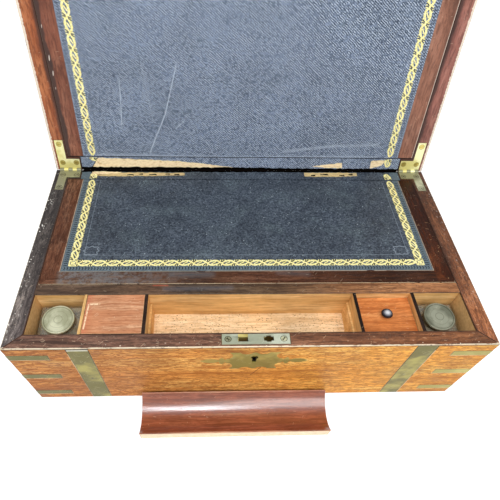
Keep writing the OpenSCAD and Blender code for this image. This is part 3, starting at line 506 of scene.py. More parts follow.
def brass(name, dull, bright, on_lid=False, polish=0.5, gloss=(0.28, 0.46), centre=None, metal=0.85,
          local=None):
    """Yellow metal, dull where it has browned and bright where it is rubbed, turned round centre."""
    s = Shader(name, on_lid)
    stain = s.cloud(0.035)
    fine = s.cloud(0.8, 3.0, 0.6)
    rubbed = 0.62 - 0.3 * polish
    s.colour = s.mix(s.rise(stain, rubbed, rubbed + 0.18), dull, bright)
    s.paint(s.tinted(dull, (170, 160, 140)), s.rise(fine, 0.56, 0.76, 0.35))
    lines = s.scatter(s.join(s.x, s.plus(s.y, s.z)), (25, 3.0, 0.16, 0.2, 1), (-50, 2.2, 0.14, 0.15, 2))
    s.paint(s.mix(0.6, bright, (250, 244, 210)), lines, 0.35)
    height = s.less(s.times(fine, 0.3), s.times(lines, 0.5))
    if centre is not None:
        reach = s.reach(s.less(s.x, centre.x), s.less(s.y, centre.y))
        height = s.plus(height, s.times(s.calc("SINE", s.times(reach, 5.0)), 0.25))
        for radius, strength in ((4.0, 0.4), (9.0, 0.2), (13.7, 0.6)):
            ring = s.calc("LESS_THAN", s.off(reach, radius), 0.32)
            s.paint(s.tinted(dull, (150, 140, 120)), ring, strength)
    if local is not None:
        local(s)
    rough = s.level(s.plus(stain, s.times(fine, 0.4)), 0.5, 0.95, gloss[1], gloss[0])
    return s.finish(rough, height, 0.04, metal=metal)


def leather(name, ground, worn, edge_tone, place, on_lid=False, hatch=0.0, dust=0.4, scuffs=0.2, streaks=()):
    """Blind-grained goatskin with scratches, specks and dusty patches; the streaks are pale lines, scratches
    and painted highlights along creases, and the hatch is painted light on its ribs and dark between them.
    place is half width and front in mm.
    """
    s = Shader(name, on_lid)
    cloud = s.cloud(0.018, 4.0, 0.6)
    fine = s.cloud(1.1, 4.0, 0.7)
    s.colour = s.ramp(s.cloud(0.42, 5.0, 0.75), (0.43, ground), (0.59, worn))
    s.shade(s.level(cloud, 0.3, 0.7, 0.78, 1.18))
    s.paint((112, 126, 130), s.rise(s.cloud(0.03, 3.0, 0.6), 0.48, 0.7, dust),
            s.rise(s.cloud(0.5, 4.0, 0.7), 0.4, 0.65))
    side = place[0] - INSET
    front = place[1] + INSET
    outside = s.most(s.rise(s.aside, side - 0.6, side + 0.6), s.fall(s.y, front - 0.6, front + 0.6))
    s.paint(edge_tone, outside, 0.5)
    kinds = [(35, 2.6, 0.24, scuffs, 1)]
    for number, (degrees, length) in enumerate(((-28, 2.2), (78, 1.8), (8, 2.6), (118, 3.4), (52, 1.4))):
        kinds.append((degrees, length, 0.24, scuffs * 0.6, number + 2))
    s.paint((150, 164, 172), s.scatter(s.flat, *kinds), 0.26)
    specks = s.scatter(s.flat, (0, 0.5, 0.45, 0.02, 9), (40, 0.3, 0.3, 0.05, 12))
    s.paint((196, 206, 208), specks, 0.7)
    s.paint((26, 32, 42), s.marks(s.flat, 15, 0.5, 0.4, 0.1, 14), 0.5)
    for start, end, width, strength in streaks:
        broken = s.level(s.cloud(0.4), 0.35, 0.6, 0.3, strength)
        s.paint((204, 214, 226), s.streak(s.flat, start, end, width), broken)
    height = fine
    if hatch:
        jitter = s.vector("MULTIPLY", s.noise(s.mm, 0.25, 2.0, output=1), (2.2, 2.2, 2.2))
        across = s.turned(s.vector("ADD", s.mm, jitter), 52)
        ribs = s.calc("SINE", s.times(s.split(across)[0], 3.3))
        ribs = s.times(ribs, s.level(s.cloud(0.4), 0.4, 0.58, 0.15, 1.0))
        # Painted highlight on the hatch's ribs and painted shade between them
        s.paint(s.mix(0.45, worn, (220, 230, 240)), s.rise(ribs, 0.0, 0.9, hatch))
        s.paint(s.tinted(ground, (0.5, 0.5, 0.52, 1)), s.fall(ribs, -0.9, 0.0, hatch * 0.8))
        height = s.plus(s.times(ribs, 0.6), fine)
    return s.finish(s.level(cloud, 0.3, 0.7, 0.42, 0.58), height, 0.12, 0.3)


def gold_leaf(name, on_lid=False):
    s = Shader(name, on_lid)
    wear = s.cloud(1.0, 4.0, 0.7)
    s.colour = s.ramp(wear, (0.34, (120, 106, 56)), (0.43, (244, 228, 138)), (0.66, (255, 252, 204)))
    return s.finish(s.level(wear, 0.3, 0.7, 0.5, 0.3), wear, 0.05, metal=0.2)


def torn(name, pale, brown, on_lid=False):
    """Split leather and glue that show where the skin has come away."""
    s = Shader(name, on_lid)
    strands = s.noise(s.vector("MULTIPLY", s.mm, (0.3, 1, 1)), 0.7, 5.0, 0.7)
    s.colour = s.ramp(strands, (0.3, brown), (0.5, pale))
    s.paint(brown, s.rise(s.cloud(0.12, 4.0, 0.6), 0.54, 0.68, 0.7))
    pits = s.rise(s.cloud(0.9, 2.0), 0.64, 0.72)
    s.paint((72, 56, 36), pits, 0.5)
    return s.finish(0.85, s.less(strands, pits), 0.25)


def plain(name, low, high, scale, rough=(0.5, 0.7), on_lid=False, shine=0.5):
    """A dull surface that varies between two colours."""
    s = Shader(name, on_lid)
    mottle = s.cloud(scale, 4.0, 0.6)
    s.colour = s.ramp(mottle, (0.3, low), (0.7, high))
    return s.finish(s.level(mottle, 0.3, 0.7, *rough), mottle, 0.05, shine)


def knob_painted_highlight(name, node):
    """Dark metal with a bright painted highlight on its crown, fading to painted shade at its edge."""
    s = Shader(name)
    low, high = span(node)
    middle = (low + high) / 2
    reach = s.reach(s.less(s.x, middle.x), s.less(s.y, middle.y))
    share = s.calc("DIVIDE", reach, (high.x - low.x) / 2)
    fine = s.cloud(0.6)
    s.colour = s.ramp(share, (0.2, (228, 228, 230)), (0.5, (146, 146, 152)), (0.75, (44, 40, 44)))
    return s.finish(s.level(fine, 0.3, 0.7, 0.14, 0.26), fine, 0.03, metal=0.6)


def dirty_glass(name):
    """Clear moulded glass with a film of dust and dried ink."""
    s = Shader(name)
    film = s.cloud(0.12, 4.0, 0.6)
    grime = s.level(film, 0.35, 0.7, 0.35, 0.9)
    s.colour = s.mix(s.rise(film, 0.4, 0.65), (214, 204, 180), (146, 132, 104))
    put(s.body.inputs["Transmission Weight"], s.level(grime, 0.3, 0.9, 0.75, 0.25))
    put(s.body.inputs["IOR"], 1.5)
    return s.finish(s.level(grime, 0.3, 0.9, 0.03, 0.22), film, 0.03)


# Pieces

WELD = 0.004 * MM
FLAT = math.radians(0.8)
SHARP = math.radians(32)


def add_piece(name, mesh, materials, body):
    """A shown object from a bmesh, riding on a body."""
    data = bpy.data.meshes.new(name)
    mesh.to_mesh(data)
    mesh.free()
    for material in materials:
        data.materials.append(material)
    piece = bpy.data.objects.new(name, data)
    bpy.context.scene.collection.objects.link(piece)
    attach(piece, body)
    return piece


def carry(node, material):
    """The CAD node is shown as it is, in this material."""
    data = NODES[node].data
    data.materials.clear()
    data.materials.append(material)


def round_over(node, material, edge, width, shortest=6.0):
    """A copy of the CAD node, in its place, whose long sharp edges are rounded and worn."""
    mesh = bmesh.new()
    mesh.from_mesh(NODES[node].data)
    bmesh.ops.remove_doubles(mesh, verts=mesh.verts, dist=WELD)
    bmesh.ops.dissolve_limit(mesh, angle_limit=FLAT, verts=mesh.verts, edges=mesh.edges)
    weight = mesh.edges.layers.float.new("bevel_weight_edge")
    for edge_line in mesh.edges:
        faces = edge_line.link_faces
        sharp = len(faces) != 2 or faces[0].normal.angle(faces[1].normal, 0) > SHARP
        edge_line.smooth = not sharp
        if sharp and len(faces) == 2 and edge_line.calc_length() > shortest * MM:
            edge_line[weight] = 1.0
    for face in mesh.faces:
        face.smooth = True
        face.material_index = 0
    piece = add_piece(node + "_dressed", mesh, (material, edge), NODES[node]["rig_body"])
    bevel = piece.modifiers.new("Rounded edges", "BEVEL")
    bevel.limit_method = "WEIGHT"
    bevel.width = width * MM
    bevel.segments = 2
    bevel.material = 1
    bevel.harden_normals = True
    bevel.use_clamp_overlap = False
    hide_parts(node)


class Face:
    """A flat face of a CAD node: x across, y towards the hinge, z out of it, in millimetres."""

    def __init__(self, node, out, toward):
        shape = NODES[node].data
        best = max(shape.polygons, key=lambda side: side.area * max(side.normal.dot(out), 0))
        self.out = best.normal.normalized()
        self.up = (toward - self.out * toward.dot(self.out)).normalized()
        self.across = self.up.cross(self.out)
        level = best.center.dot(self.out)
        flat = [v.co for v in shape.vertices if abs(v.co.dot(self.out) - level) < 0.01 * MM]
        start = min(point.dot(self.up) for point in flat)
        self.length = (max(point.dot(self.up) for point in flat) - start) / MM
        self.half = max(point.dot(self.across) for point in flat) / MM
        self.origin = self.out * level + self.up * start
        self.hinge = (HINGE - self.origin).dot(self.up) / MM

    def at(self, x, y, z):
        return self.origin + (self.across * x + self.up * y + self.out * z) * MM


def tube(mesh, rings):
    """Closes a tube through rings of vertices."""
    for first, second in zip(rings, rings[1:]):
        for i, corner in enumerate(first):
            j = (i + 1) % len(first)
            mesh.faces.new((corner, first[j], second[j], second[i]))
    mesh.faces.new(rings[0][::-1])
    mesh.faces.new(rings[-1])


class Strips:
    """Thin closed strips and patches laid on a face."""

    def __init__(self, face, low, high):
        self.face = face
        self.low = low
        self.high = high
        self.mesh = bmesh.new()

    def ribbon(self, points, width, lift=0.0):
        rings = []
        for i, point in enumerate(points):
            before = Vector(points[max(i - 1, 0)])
            after = Vector(points[min(i + 1, len(points) - 1)])
            run = (after - before).normalized()
            side = Vector((-run.y, run.x)) * width / 2
            ring = []
            for sign, z in ((1, self.low), (1, self.high + lift), (-1, self.high + lift), (-1, self.low)):
                spot = Vector(point) + side * sign
                ring.append(self.mesh.verts.new(self.face.at(spot.x, spot.y, z)))
            rings.append(ring)
        tube(self.mesh, rings)

    def patch(self, outline):
        top = [self.mesh.verts.new(self.face.at(x, y, self.high)) for x, y in outline]
        base = [self.mesh.verts.new(self.face.at(x, y, self.low)) for x, y in outline]
        for corners in tessellate_polygon([[Vector((x, y, 0)) for x, y in outline]]):
            self.mesh.faces.new([top[i] for i in corners])
            self.mesh.faces.new([base[i] for i in corners][::-1])
        for i in range(len(top)):
            j = (i + 1) % len(top)
            self.mesh.faces.new((top[j], top[i], base[i], base[j]))

    def sheet(self, edge_line, far):
        """A sheet from the straight line y = far to a torn edge whose x only falls."""
        columns = []
        for x, y in edge_line:
            spots = ((far, self.low), (far, self.high), (y, self.high), (y, self.low))
            columns.append([self.mesh.verts.new(self.face.at(x, along, z)) for along, z in spots])
        tube(self.mesh, columns)

    def piece(self, name, material, body):
        bmesh.ops.recalc_face_normals(self.mesh, faces=self.mesh.faces)
        return add_piece(name, self.mesh, (material,), body)


def ragged(points, step, depth, seed):
    """The line through points with small torn steps along it."""
    chance = random.Random(seed)
    line = [points[0]]
    for (x0, y0), (x1, y1) in zip(points, points[1:]):
        count = max(int(math.hypot(x1 - x0, y1 - y0) / step), 1)
        for i in range(1, count + 1):
            share = i / count
            slip = chance.uniform(-depth, depth) if i < count else 0
            line.append((x0 + (x1 - x0) * share, y0 + (y1 - y0) * share + slip))
    return line


# Lowest and highest roughness of the woods

SATIN = (0.25, 0.4)
DULL_POLISH = (0.4, 0.6)
UNPOLISHED = (0.55, 0.75)

# Colours of the woods, dark, middle and light

# Black painted as shade: near the hinge line and in the keyhole's bore
PAINTED_SHADE_BLACK = (8, 6, 5)
MAHOGANY = ((146, 80, 32), (244, 172, 94), (252, 202, 124))
# Lighter tones for the right of the front: painted light, as the key lamp is on that side
MAHOGANY_LIT_RIGHT = ((170, 98, 38), (248, 184, 82), (255, 216, 120))
SIDE_WOOD = ((92, 46, 26), (150, 86, 50), (196, 128, 76))
ROSEWOOD = ((36, 20, 16), (120, 84, 70), (174, 134, 116))
RED_ROSEWOOD = ((44, 20, 10), (116, 68, 40), (170, 112, 74))
LEFT_RIM = ((22, 18, 18), (64, 56, 54), (116, 106, 100))
LID_RIM = ((94, 44, 25), (150, 81, 46), (188, 118, 76))
LID_RIM_RIGHT = ((84, 48, 42), (140, 88, 76), (174, 120, 104))
RAIL = ((36, 22, 16), (96, 74, 58), (142, 116, 94))
RAIL_RIGHT = ((72, 36, 18), (160, 104, 64), (204, 146, 98))
BORDER = ((52, 24, 15), (124, 78, 56), (168, 122, 96))
BORDER_RIGHT = ((14, 6, 3), (54, 26, 13), (96, 56, 32))
LID_BORDER = ((70, 36, 28), (122, 72, 54), (156, 104, 80))
LID_BORDER_RIGHT = ((86, 54, 42), (144, 96, 76), (178, 128, 106))
UNDER_LEATHER = ((18, 12, 10), (38, 26, 22), (60, 42, 34))
PINE = ((184, 134, 76), (224, 178, 114), (244, 206, 148))
ROUGH_PINE = ((200, 158, 108), (238, 206, 162), (250, 230, 196))

# The front is painted lighter towards the right and darker towards the left as light and shade, and black as
# shade in the keyhole
case_x = wood("case wood", MAHOGANY, right_tones=MAHOGANY_LIT_RIGHT, pores=0.6, dashes=0.6, veins=1.0, gloss=DULL_POLISH,
              figure=0.05, waves=9, dents=0.05, polish=0.12, local=front_shade_and_keyhole)
case_y = wood("case wood, sides", SIDE_WOOD, along="Y", pores=0.6, dashes=0.4, veins=0.5, polish=0.15,
              local=pine_inside)
lid_x = wood("lid wood", MAHOGANY, on_lid=True, pores=0.7, dashes=0.4, local=hinge_black_shade)
lid_y = wood("lid wood, sides", SIDE_WOOD, along="Y", on_lid=True, pores=0.6, dashes=0.4, veins=0.5,
             polish=0.15)
back_x = wood("back wood", MAHOGANY, pores=0.7, dashes=0.4, veins=0.6, polish=0.12, local=hinge_black_shade)
rim_x = wood("front rim", ROSEWOOD, right_tones=RED_ROSEWOOD, gloss=SATIN, dust=0.15, veins=0.5,
             dashes=0.5, polish=0.25, local=scratched_rim)
rim_y = wood("side rims", LEFT_RIM, along="Y", right_tones=RED_ROSEWOOD, gloss=SATIN, dust=0.2,
             dents=0.08, veins=0.5, dashes=0.5, polish=0.2, local=rim_specks_and_shade)
lid_rim_x = wood("lid front rim", ROSEWOOD, on_lid=True, right_tones=RED_ROSEWOOD, dust=0.2)
lid_rim_y = wood("lid side rims", LID_RIM, along="Y", on_lid=True, right_tones=LID_RIM_RIGHT, dust=0.15,
                 dents=0.06, local=lid_rim_shade_and_wear)
rail_x = wood("pen rail", RAIL, right_tones=RAIL_RIGHT, gloss=SATIN, dust=0.1, dents=0.06, veins=0.5,
              dashes=0.4, polish=0.2, local=rail_reflection_and_stain)
border_x = wood("flap border", BORDER, right_tones=BORDER_RIGHT, gloss=SATIN, dust=0.1, dents=0.05,
                veins=0.4, dashes=0.4, polish=0.1, local=flap_front, mitred=FLAP_LEATHER)
lid_border_x = wood("lid flap border", LID_BORDER, along="Y", on_lid=True, right_tones=LID_BORDER_RIGHT,
                    dust=0.1, dents=0.05, local=lid_border_shade_and_highlight, mitred=LID_LEATHER)
flap_x = wood("flap board", UNDER_LEATHER, pores=0.3)
lid_flap_x = wood("lid flap board", UNDER_LEATHER, on_lid=True, pores=0.3)
pine_x = wood("pine", PINE, gloss=UNPOLISHED, pores=0.25, dents=0.04, polish=0.2)
pine_y = wood("pine, across", PINE, along="Y", gloss=UNPOLISHED, pores=0.25, dents=0.04, polish=0.2)
floor_x = wood("pine floor", ROUGH_PINE, gloss=(0.6, 0.8), pores=0.6, dashes=0.25, dents=0.3, polish=0.1,
               local=stippled_floor)
lid_pine = wood("lid pine", PINE, on_lid=True, gloss=UNPOLISHED, pores=0.25, polish=0.2)
cap_y = wood("divider caps", ((16, 11, 9), (34, 24, 20), (62, 46, 38)), along="Y", dents=0.03, polish=0.1)
cover_x = wood("left cover", ((164, 98, 62), (202, 137, 97), (224, 173, 134)), gloss=DULL_POLISH, pores=0.4,
               dashes=0.3, veins=0.25, dents=0.06, polish=0.2, local=chipped_cover)
small_x = wood("small lid", ((158, 80, 34), (208, 126, 66), (230, 158, 96)), gloss=(0.35, 0.5), pores=0.4,
               dashes=0.3, veins=0.3, dents=0.05, polish=0.2)
tray_x = wood("pen tray", ((88, 38, 22), (146, 80, 54), (182, 112, 84)), gloss=(0.16, 0.26), pores=0.2,
              veins=0.35, dents=0.05, polish=1.0, local=sappy_front)
edge = worn_edge("worn edge", (78, 52, 40), (240, 220, 184))
# Its pale arrises along the flap's front edge are wear and a painted highlight
flap_edge = worn_edge("flap edge", (44, 28, 20), (222, 184, 132), everywhere=0.85, dark_behind=-51)
board_edge = worn_edge("board edge", (84, 48, 28), (208, 160, 110), everywhere=0.2, dark_above=114)
lid_edge = worn_edge("lid worn edge", (58, 36, 28), (214, 184, 150), on_lid=True)
lid_board_edge = worn_edge("lid board edge", (84, 48, 28), (208, 160, 110), on_lid=True, everywhere=0.2)
dark_edge = worn_edge("dark edge", (38, 26, 22), (110, 84, 66), everywhere=0.3)
lid_border_edge = worn_edge("lid border edge", (60, 38, 30), (140, 104, 82), on_lid=True, everywhere=0.3)
pine_edge = wood("pine edge", ((150, 104, 62), (198, 152, 98), (226, 190, 138)), gloss=(0.5, 0.7))
pale_edge = wood("pale edge", ((170, 104, 66), (214, 158, 112), (236, 196, 150)), gloss=DULL_POLISH)
tray_edge = wood("tray edge", ((120, 66, 48), (176, 120, 92), (216, 172, 136)), gloss=SATIN)

OLIVE = ((106, 98, 34), (160, 148, 56))
old_brass = brass("aged brass", *OLIVE, gloss=(0.34, 0.5), metal=0.4, local=strap_dirt)
lid_old_brass = brass("aged brass, lid", *OLIVE, on_lid=True, gloss=(0.34, 0.5))
shield_brass = brass("escutcheon brass", (154, 142, 72), (198, 184, 102))
dark_brass = brass("dirty brass edge", (26, 20, 10), (76, 66, 36), polish=0.35, metal=0.3)
lid_dark_brass = brass("dirty brass edge, lid", (56, 46, 26), (120, 106, 62), on_lid=True, polish=0.35)
plate_brass = brass("lock plate brass", (164, 168, 144), (200, 204, 182), gloss=(0.3, 0.5), metal=0.4)
leaf_brass = brass("hinge brass, base", (140, 138, 108), (196, 194, 160), metal=0.3)
# The lid's hinge leaves are painted much brighter and yellower than the base's: a painted highlight for the
# light they reflect
lit_lid_hinge_brass = brass("hinge brass, lid", (222, 210, 132), (252, 248, 190), on_lid=True, polish=0.8,
                       metal=0.4)
yellow_brass = brass("yellow brass", (190, 172, 96), (246, 230, 150), polish=0.7)
lid_yellow_brass = brass("yellow brass, lid", (170, 152, 78), (236, 216, 128), on_lid=True, polish=0.7)
collar_brass = brass("collar brass", (96, 92, 66), (150, 144, 108))
# Dark brown for the rings round the screw heads and the lines in their slots: painted shade
grime = plain("grime", (22, 18, 12), (44, 36, 24), 1.2, (0.8, 0.9), shine=0.1)
lid_screw_ring_shade = plain("screw ring shade, lid", (140, 126, 66), (186, 172, 104), 1.2, (0.7, 0.9), on_lid=True, shine=0.1)
slit_dark = plain("bare slits", (22, 24, 28), (44, 48, 54), 1.2, (0.7, 0.9), shine=0.1)
lid_slit_dark = plain("bare slits, lid", (48, 52, 60), (76, 84, 98), 1.2, (0.7, 0.9), on_lid=True, shine=0.1)
# Matt black for sheets and patches painted as shade: at the hinge line and in the holes of the torn leather
black_shade_sheet = plain("black shade sheet", (4, 3, 3), (14, 11, 9), 1.0, (0.9, 1.0), shine=0.0)

SLOPE = math.radians(7.34)


def lid_spot(x, away):
    """The x and y on the shut lid of a place away from the hinge line along the slope of the rims."""
    return x, BACK - away * math.cos(SLOPE)


# Scratches and white specks on the lid's leather, and painted highlights along its creases: the four lines 2
# to 3.2 mm wide, 17 to 35 mm from the hinge
LID_SCRATCHES_AND_CREASE_HIGHLIGHTS = [
    (lid_spot(*start), lid_spot(*end), width, strength)
    for start, end, width, strength in (
        ((-138.9, 108), (-143.1, 53), 1.1, 1.0), ((-75.5, 127), (-91.6, 70), 1.2, 0.95),
        ((-91.6, 70), (-113.3, 23), 1.15, 0.95), ((-80, 53.5), (-70.3, 63), 1.2, 0.8),
        ((-167, 112), (-166.6, 112), 1.0, 0.9), ((-162.3, 74.5), (-162, 74.5), 1.0, 0.9),
        ((-176, 20.5), (20, 17.5), 2.2, 0.45), ((-52, 44), (-44, 36), 0.9, 0.6),
        ((-44, 36), (-36, 22), 0.9, 0.5), ((30, 19), (168, 19.5), 2.0, 0.4),
        ((50, 26), (110, 33), 3.2, 0.4), ((110, 33), (165, 35), 3.2, 0.35),
        ((-114, 127), (-106, 62), 0.9, 0.4),
    )
]
base_skin = leather("base leather", (32, 39, 50), (82, 90, 100), (104, 120, 126), FLAP_LEATHER, dust=0.45)
# The lid's leather is painted lighter than the base's: partly more worn and dusty, and partly a painted
# highlight for the light that it faces
lid_skin = leather("lid leather", (66, 78, 96), (132, 145, 167), (112, 124, 142), LID_LEATHER, on_lid=True,
                   hatch=1.0, dust=0.25, scuffs=0.06, streaks=LID_SCRATCHES_AND_CREASE_HIGHLIGHTS)
gold = gold_leaf("gold leaf")
lid_gold = gold_leaf("gold leaf, lid", on_lid=True)
tan = torn("torn leather", (206, 180, 126), (128, 102, 62))
lid_tan = torn("torn leather, lid", (240, 218, 176), (196, 160, 108), on_lid=True)
blind = plain("blind tooling", (96, 104, 114), (132, 142, 150), 0.6)
lid_blind = plain("blind tooling, lid", (60, 68, 84), (98, 108, 128), 0.6, on_lid=True)
glass = dirty_glass("dirty glass")


# Boards and fittings

for node, material, worn, width in (
    ("base_front", case_x, board_edge, 0.4), ("base_left", case_y, board_edge, 0.4),
    ("base_right", case_y, board_edge, 0.4), ("base_bottom", pine_x, pine_edge, 0.6),
    ("base_rim_front", rim_x, edge, 0.6), ("base_rim_sides", rim_y, edge, 0.5),
    ("pen_rail", rail_x, dark_edge, 0.3), ("pen_partition", pine_x, pine_edge, 0.3),
    ("inkwell_dividers", pine_y, pine_edge, 0.3), ("box_dividers", pine_y, pine_edge, 0.3),
    ("divider_caps", cap_y, cap_y, 0.25), ("base_flap_border", border_x, flap_edge, 0.3),
    ("lid_front", lid_x, lid_board_edge, 0.5), ("lid_left", lid_y, lid_board_edge, 0.5),
    ("lid_right", lid_y, lid_board_edge, 0.5), ("lid_top", lid_x, lid_board_edge, 0.6),
    ("lid_rim_front", lid_rim_x, lid_edge, 0.45), ("lid_rim_sides", lid_rim_y, lid_edge, 0.45),
    ("lid_flap_border", lid_border_x, lid_border_edge, 0.2), ("left_cover", cover_x, pale_edge, 0.4),
    ("small_lid", small_x, pale_edge, 0.35), ("pen_tray", tray_x, tray_edge, 0.5),
    ("base_straps", old_brass, dark_brass, 0.2), ("base_corner_strips", old_brass, dark_brass, 0.2),
    ("lid_straps", lid_old_brass, lid_dark_brass, 0.2),
    ("lid_corner_strips", lid_old_brass, lid_dark_brass, 0.2),
    ("lock_plate", plate_brass, yellow_brass, 0.12), ("escutcheon", shield_brass, dark_brass, 0.12),
    ("base_hinge_leaves", leaf_brass, dark_brass, 0.12),
    ("lid_hinge_leaves", lit_lid_hinge_brass, lit_lid_hinge_brass, 0.2),
    ("link_plate", lid_yellow_brass, lid_yellow_brass, 0.15),
):
    round_over(node, material, worn, width)

for node, material in (
    ("small_lid_knob", knob_painted_highlight("knob", "small_lid_knob")), ("left_collar", collar_brass),
    ("right_collar", collar_brass), ("left_inkwell", glass), ("right_inkwell", glass),
):
    round_over(node, material, material, 0.1, BEYOND)

for node, material in (
    ("base_back", back_x), ("lid_back", lid_x), ("pen_floor", floor_x), ("inkwell_floors", pine_x),
    ("tray_ledges", pine_x), ("cover_ledges", pine_x), ("base_flap_cleats", pine_x), ("base_flap", flap_x),
    ("lid_flap", lid_flap_x), ("lid_flap_cleats", lid_pine), ("lock_case", yellow_brass),
    ("lock_bolt", yellow_brass), ("base_screws", leaf_brass), ("lid_screws", lid_yellow_brass),
    ("hinge_pins", leaf_brass), ("flap_catch", lid_yellow_brass), ("base_leather", base_skin),
    ("lid_leather", lid_skin),
):
    carry(node, material)

for node, dull, bright in (
    ("left_cap", (166, 166, 136), (220, 220, 190)), ("right_cap", (120, 122, 104), (164, 166, 146)),
):
    low, high = span(node)
    middle = (low + high) / 2
    metal = brass(node.replace("_", " "), dull, bright, polish=0.55, gloss=(0.36, 0.52), centre=middle)
    round_over(node, metal, metal, 0.2, BEYOND)


# Tooling of the leather, in millimetres on its face

BAND = 8.7
REPEAT = 15.0
STROKE = 2.35
CLEAR = 1.3
BENDS = 10
GILT = (-0.05, 0.06)
BARE = (0.0, 0.11)
THIN = (-0.05, 0.03)
BLIND_WIDTH = 0.45


def chain(strips, slits, start, run, length):
    """The tooled chain: slanted rings that cross, a bar over each eye, bare slits where they meet."""
    side = Vector((-run.y, run.x))
    swing = (BAND - STROKE) / 2
    count = max(round(length / REPEAT), 1)
    pitch = length / count

    def at(along, over):
        spot = start + run * min(max(along + 0.5 * over, 0.0), length) + side * over
        return (spot.x, spot.y)

    for sign, lift in ((1, 0.0), (-1, 0.015)):
        for link in range(count):
            bulge = swing * sign * (-1) ** link
            line = []
            for i in range(BENDS + 1):
                share = i / BENDS
                line.append(at((link + share) * pitch, bulge * math.sin(math.pi * share)))
            strips.ribbon(line, STROKE, lift)
    for link in range(count):
        joint = link * pitch
        centre = joint + pitch / 2
        strips.ribbon([at(centre - 1.7, -1.5), at(centre, 0), at(centre + 1.7, 1.5)], 1.3, 0.03)
        for sign in (1, -1):
            for offset in (-2.3, 0.2, 2.7):
                root = at(joint + offset * 0.5, sign * BAND * 0.22)
                strips.ribbon([root, at(joint + offset, sign * BAND / 2)], 1.25, 0.03)
            for offset in (-1.05, 1.45):
                root = at(joint + offset * 0.4, sign * BAND * 0.12)
                slits.ribbon([root, at(joint + offset + 0.5 * sign, sign * BAND * 0.46)], 1.05)


def square(x, y, reach):
    """Corners of an upright square round a place."""
    return [(x - reach, y - reach), (x + reach, y - reach), (x + reach, y + reach), (x - reach, y + reach)]


def corner_block(strips, x, y):
    """Two squares, one in the other, and their diagonals."""
    half = BAND / 2
    for reach, width in ((half - 0.6, 1.3), (half - 2.7, 1.2)):
        loop = square(x, y, reach)
        for first, second in zip(loop, loop[1:] + loop[:1]):
            strips.ribbon([first, second], width)
    low_left, low_right, high_right, high_left = square(x, y, half - 0.5)
    strips.ribbon([low_left, high_right], 1.2, 0.02)
    strips.ribbon([high_left, low_right], 1.2, 0.02)


def ticks(lines, face):
    """The row of small curved ticks outside the gold border."""
    pitch = 3.1
    outer = face.half - 1.4
    for i in range(int(2 * outer / pitch)):
        x = -outer + pitch * (i + 0.5)
        lines.ribbon([(x, 1.6), (x + 0.8, 3.6), (x, 5.4)], 0.8)
    for i in range(int((face.length - 8) / pitch)):
        y = 7 + pitch * i
        for side in (-1, 1):
            curve = [(side * (outer - inward), y + bend) for inward, bend in ((0.2, 0), (2.2, 0.8), (4.0, 0))]
            lines.ribbon(curve, 0.8)


def stamp(lines, x, y, half_width=7.2, half_height=6.0):
    """A bracket-shaped cartouche."""
    outline = []
    for i in range(49):
        angle = 2 * math.pi * i / 48
        over = math.cos(angle)
        along = math.sin(angle)
        reach = (1 + 0.12 * math.cos(8 * angle)) / max(abs(over), abs(along)) ** 0.5
        outline.append((x + half_width * reach * over, y + half_height * reach * along))
    lines.ribbon(outline, 1.15)


def frame_tooling(face, prefix, gilding, blinding, bare, body):
    """The gold border on three sides of a leather, with blind lines, ticks and corner stamps."""
    mid = face.half - INSET - BAND / 2
    low = INSET + BAND / 2
    golden = Strips(face, *GILT)
    slits = Strips(face, *BARE)
    chain(golden, slits, Vector((-mid + BAND / 2, low)), Vector((1, 0)), 2 * mid - BAND)
    for side in (-1, 1):
        chain(golden, slits, Vector((side * mid, low + BAND / 2)), Vector((0, 1)),
              face.length - low - BAND / 2 - CLEAR)
        corner_block(golden, side * mid, low)
    golden.piece(prefix + "_gold_border", gilding, body)
    ticks(slits, face)
    slits.piece(prefix + "_bare_slits", bare, body)
    lines = Strips(face, *THIN)
    inner = mid - BAND / 2 - 5.2
    level = low + BAND / 2 + 7.0
    top = face.length - 2
    for start, end in (((-inner, top), (-inner, level)), ((inner, top), (inner, level)),
                       ((-inner, level), (inner, level))):
        lines.ribbon([start, end], BLIND_WIDTH)
    for side in (-1, 1):
        stamp(lines, side * (inner - 6.5), level + 6.5)
    lines.piece(prefix + "_blind_tooling", blinding, body)


base_face = Face("base_leather", Z, Y)
lid_face = Face("lid_leather", -Y, -Z)
frame_tooling(base_face, "base", gold, blind, slit_dark, "base_flap")
frame_tooling(lid_face, "lid", lid_gold, lid_blind, lid_slit_dark, "lid_flap")


# Torn leather along the hinge. Points are x across and distance from the hinge line, in millimetres.

SKIN = 0.7


def rail_skin(node, face, name, skin, body, edge_line, seed, crack):
    """The glued leather beside the hinge: a sheet with a torn edge in place of the plain strip."""
    rail = Face(node, face.out, face.up)
    strips = Strips(rail, -SKIN, 0.0)
    strips.sheet(ragged(on_rail(rail, edge_line), 3.0, 0.5, seed), 0.1)
    piece = strips.piece(name, skin, body)
    # A black sheet that runs towards the hinge line from 4.6 mm short of it: painted shade in the crack
    crack_shade_sheet = Strips(rail, -SKIN, -0.03)
    inner = rail.hinge - 4.6
    crack_shade_sheet.sheet(ragged([(rail.half, inner), (-rail.half, inner)], 4.0, 0.3, seed), rail.hinge - crack)
    crack_shade_sheet.piece(name + "_matted", black_shade_sheet, body)
    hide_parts(node)
    return rail


def on_rail(rail, points):
    """Places on the face, kept on the rail."""
    return [(x, max(rail.hinge - away, 0.8)) for x, away in points]


def torn_patch(rail, name, material, body, outlines, low, high, seed):
    """Bare patches where the skin has come away."""
    strips = Strips(rail, low, high)
    for number, outline in enumerate(outlines):
        closed = on_rail(rail, outline + outline[:1])
        strips.patch(ragged(closed, 2.8, 0.65, seed + number)[:-1])
    strips.piece(name, material, body)


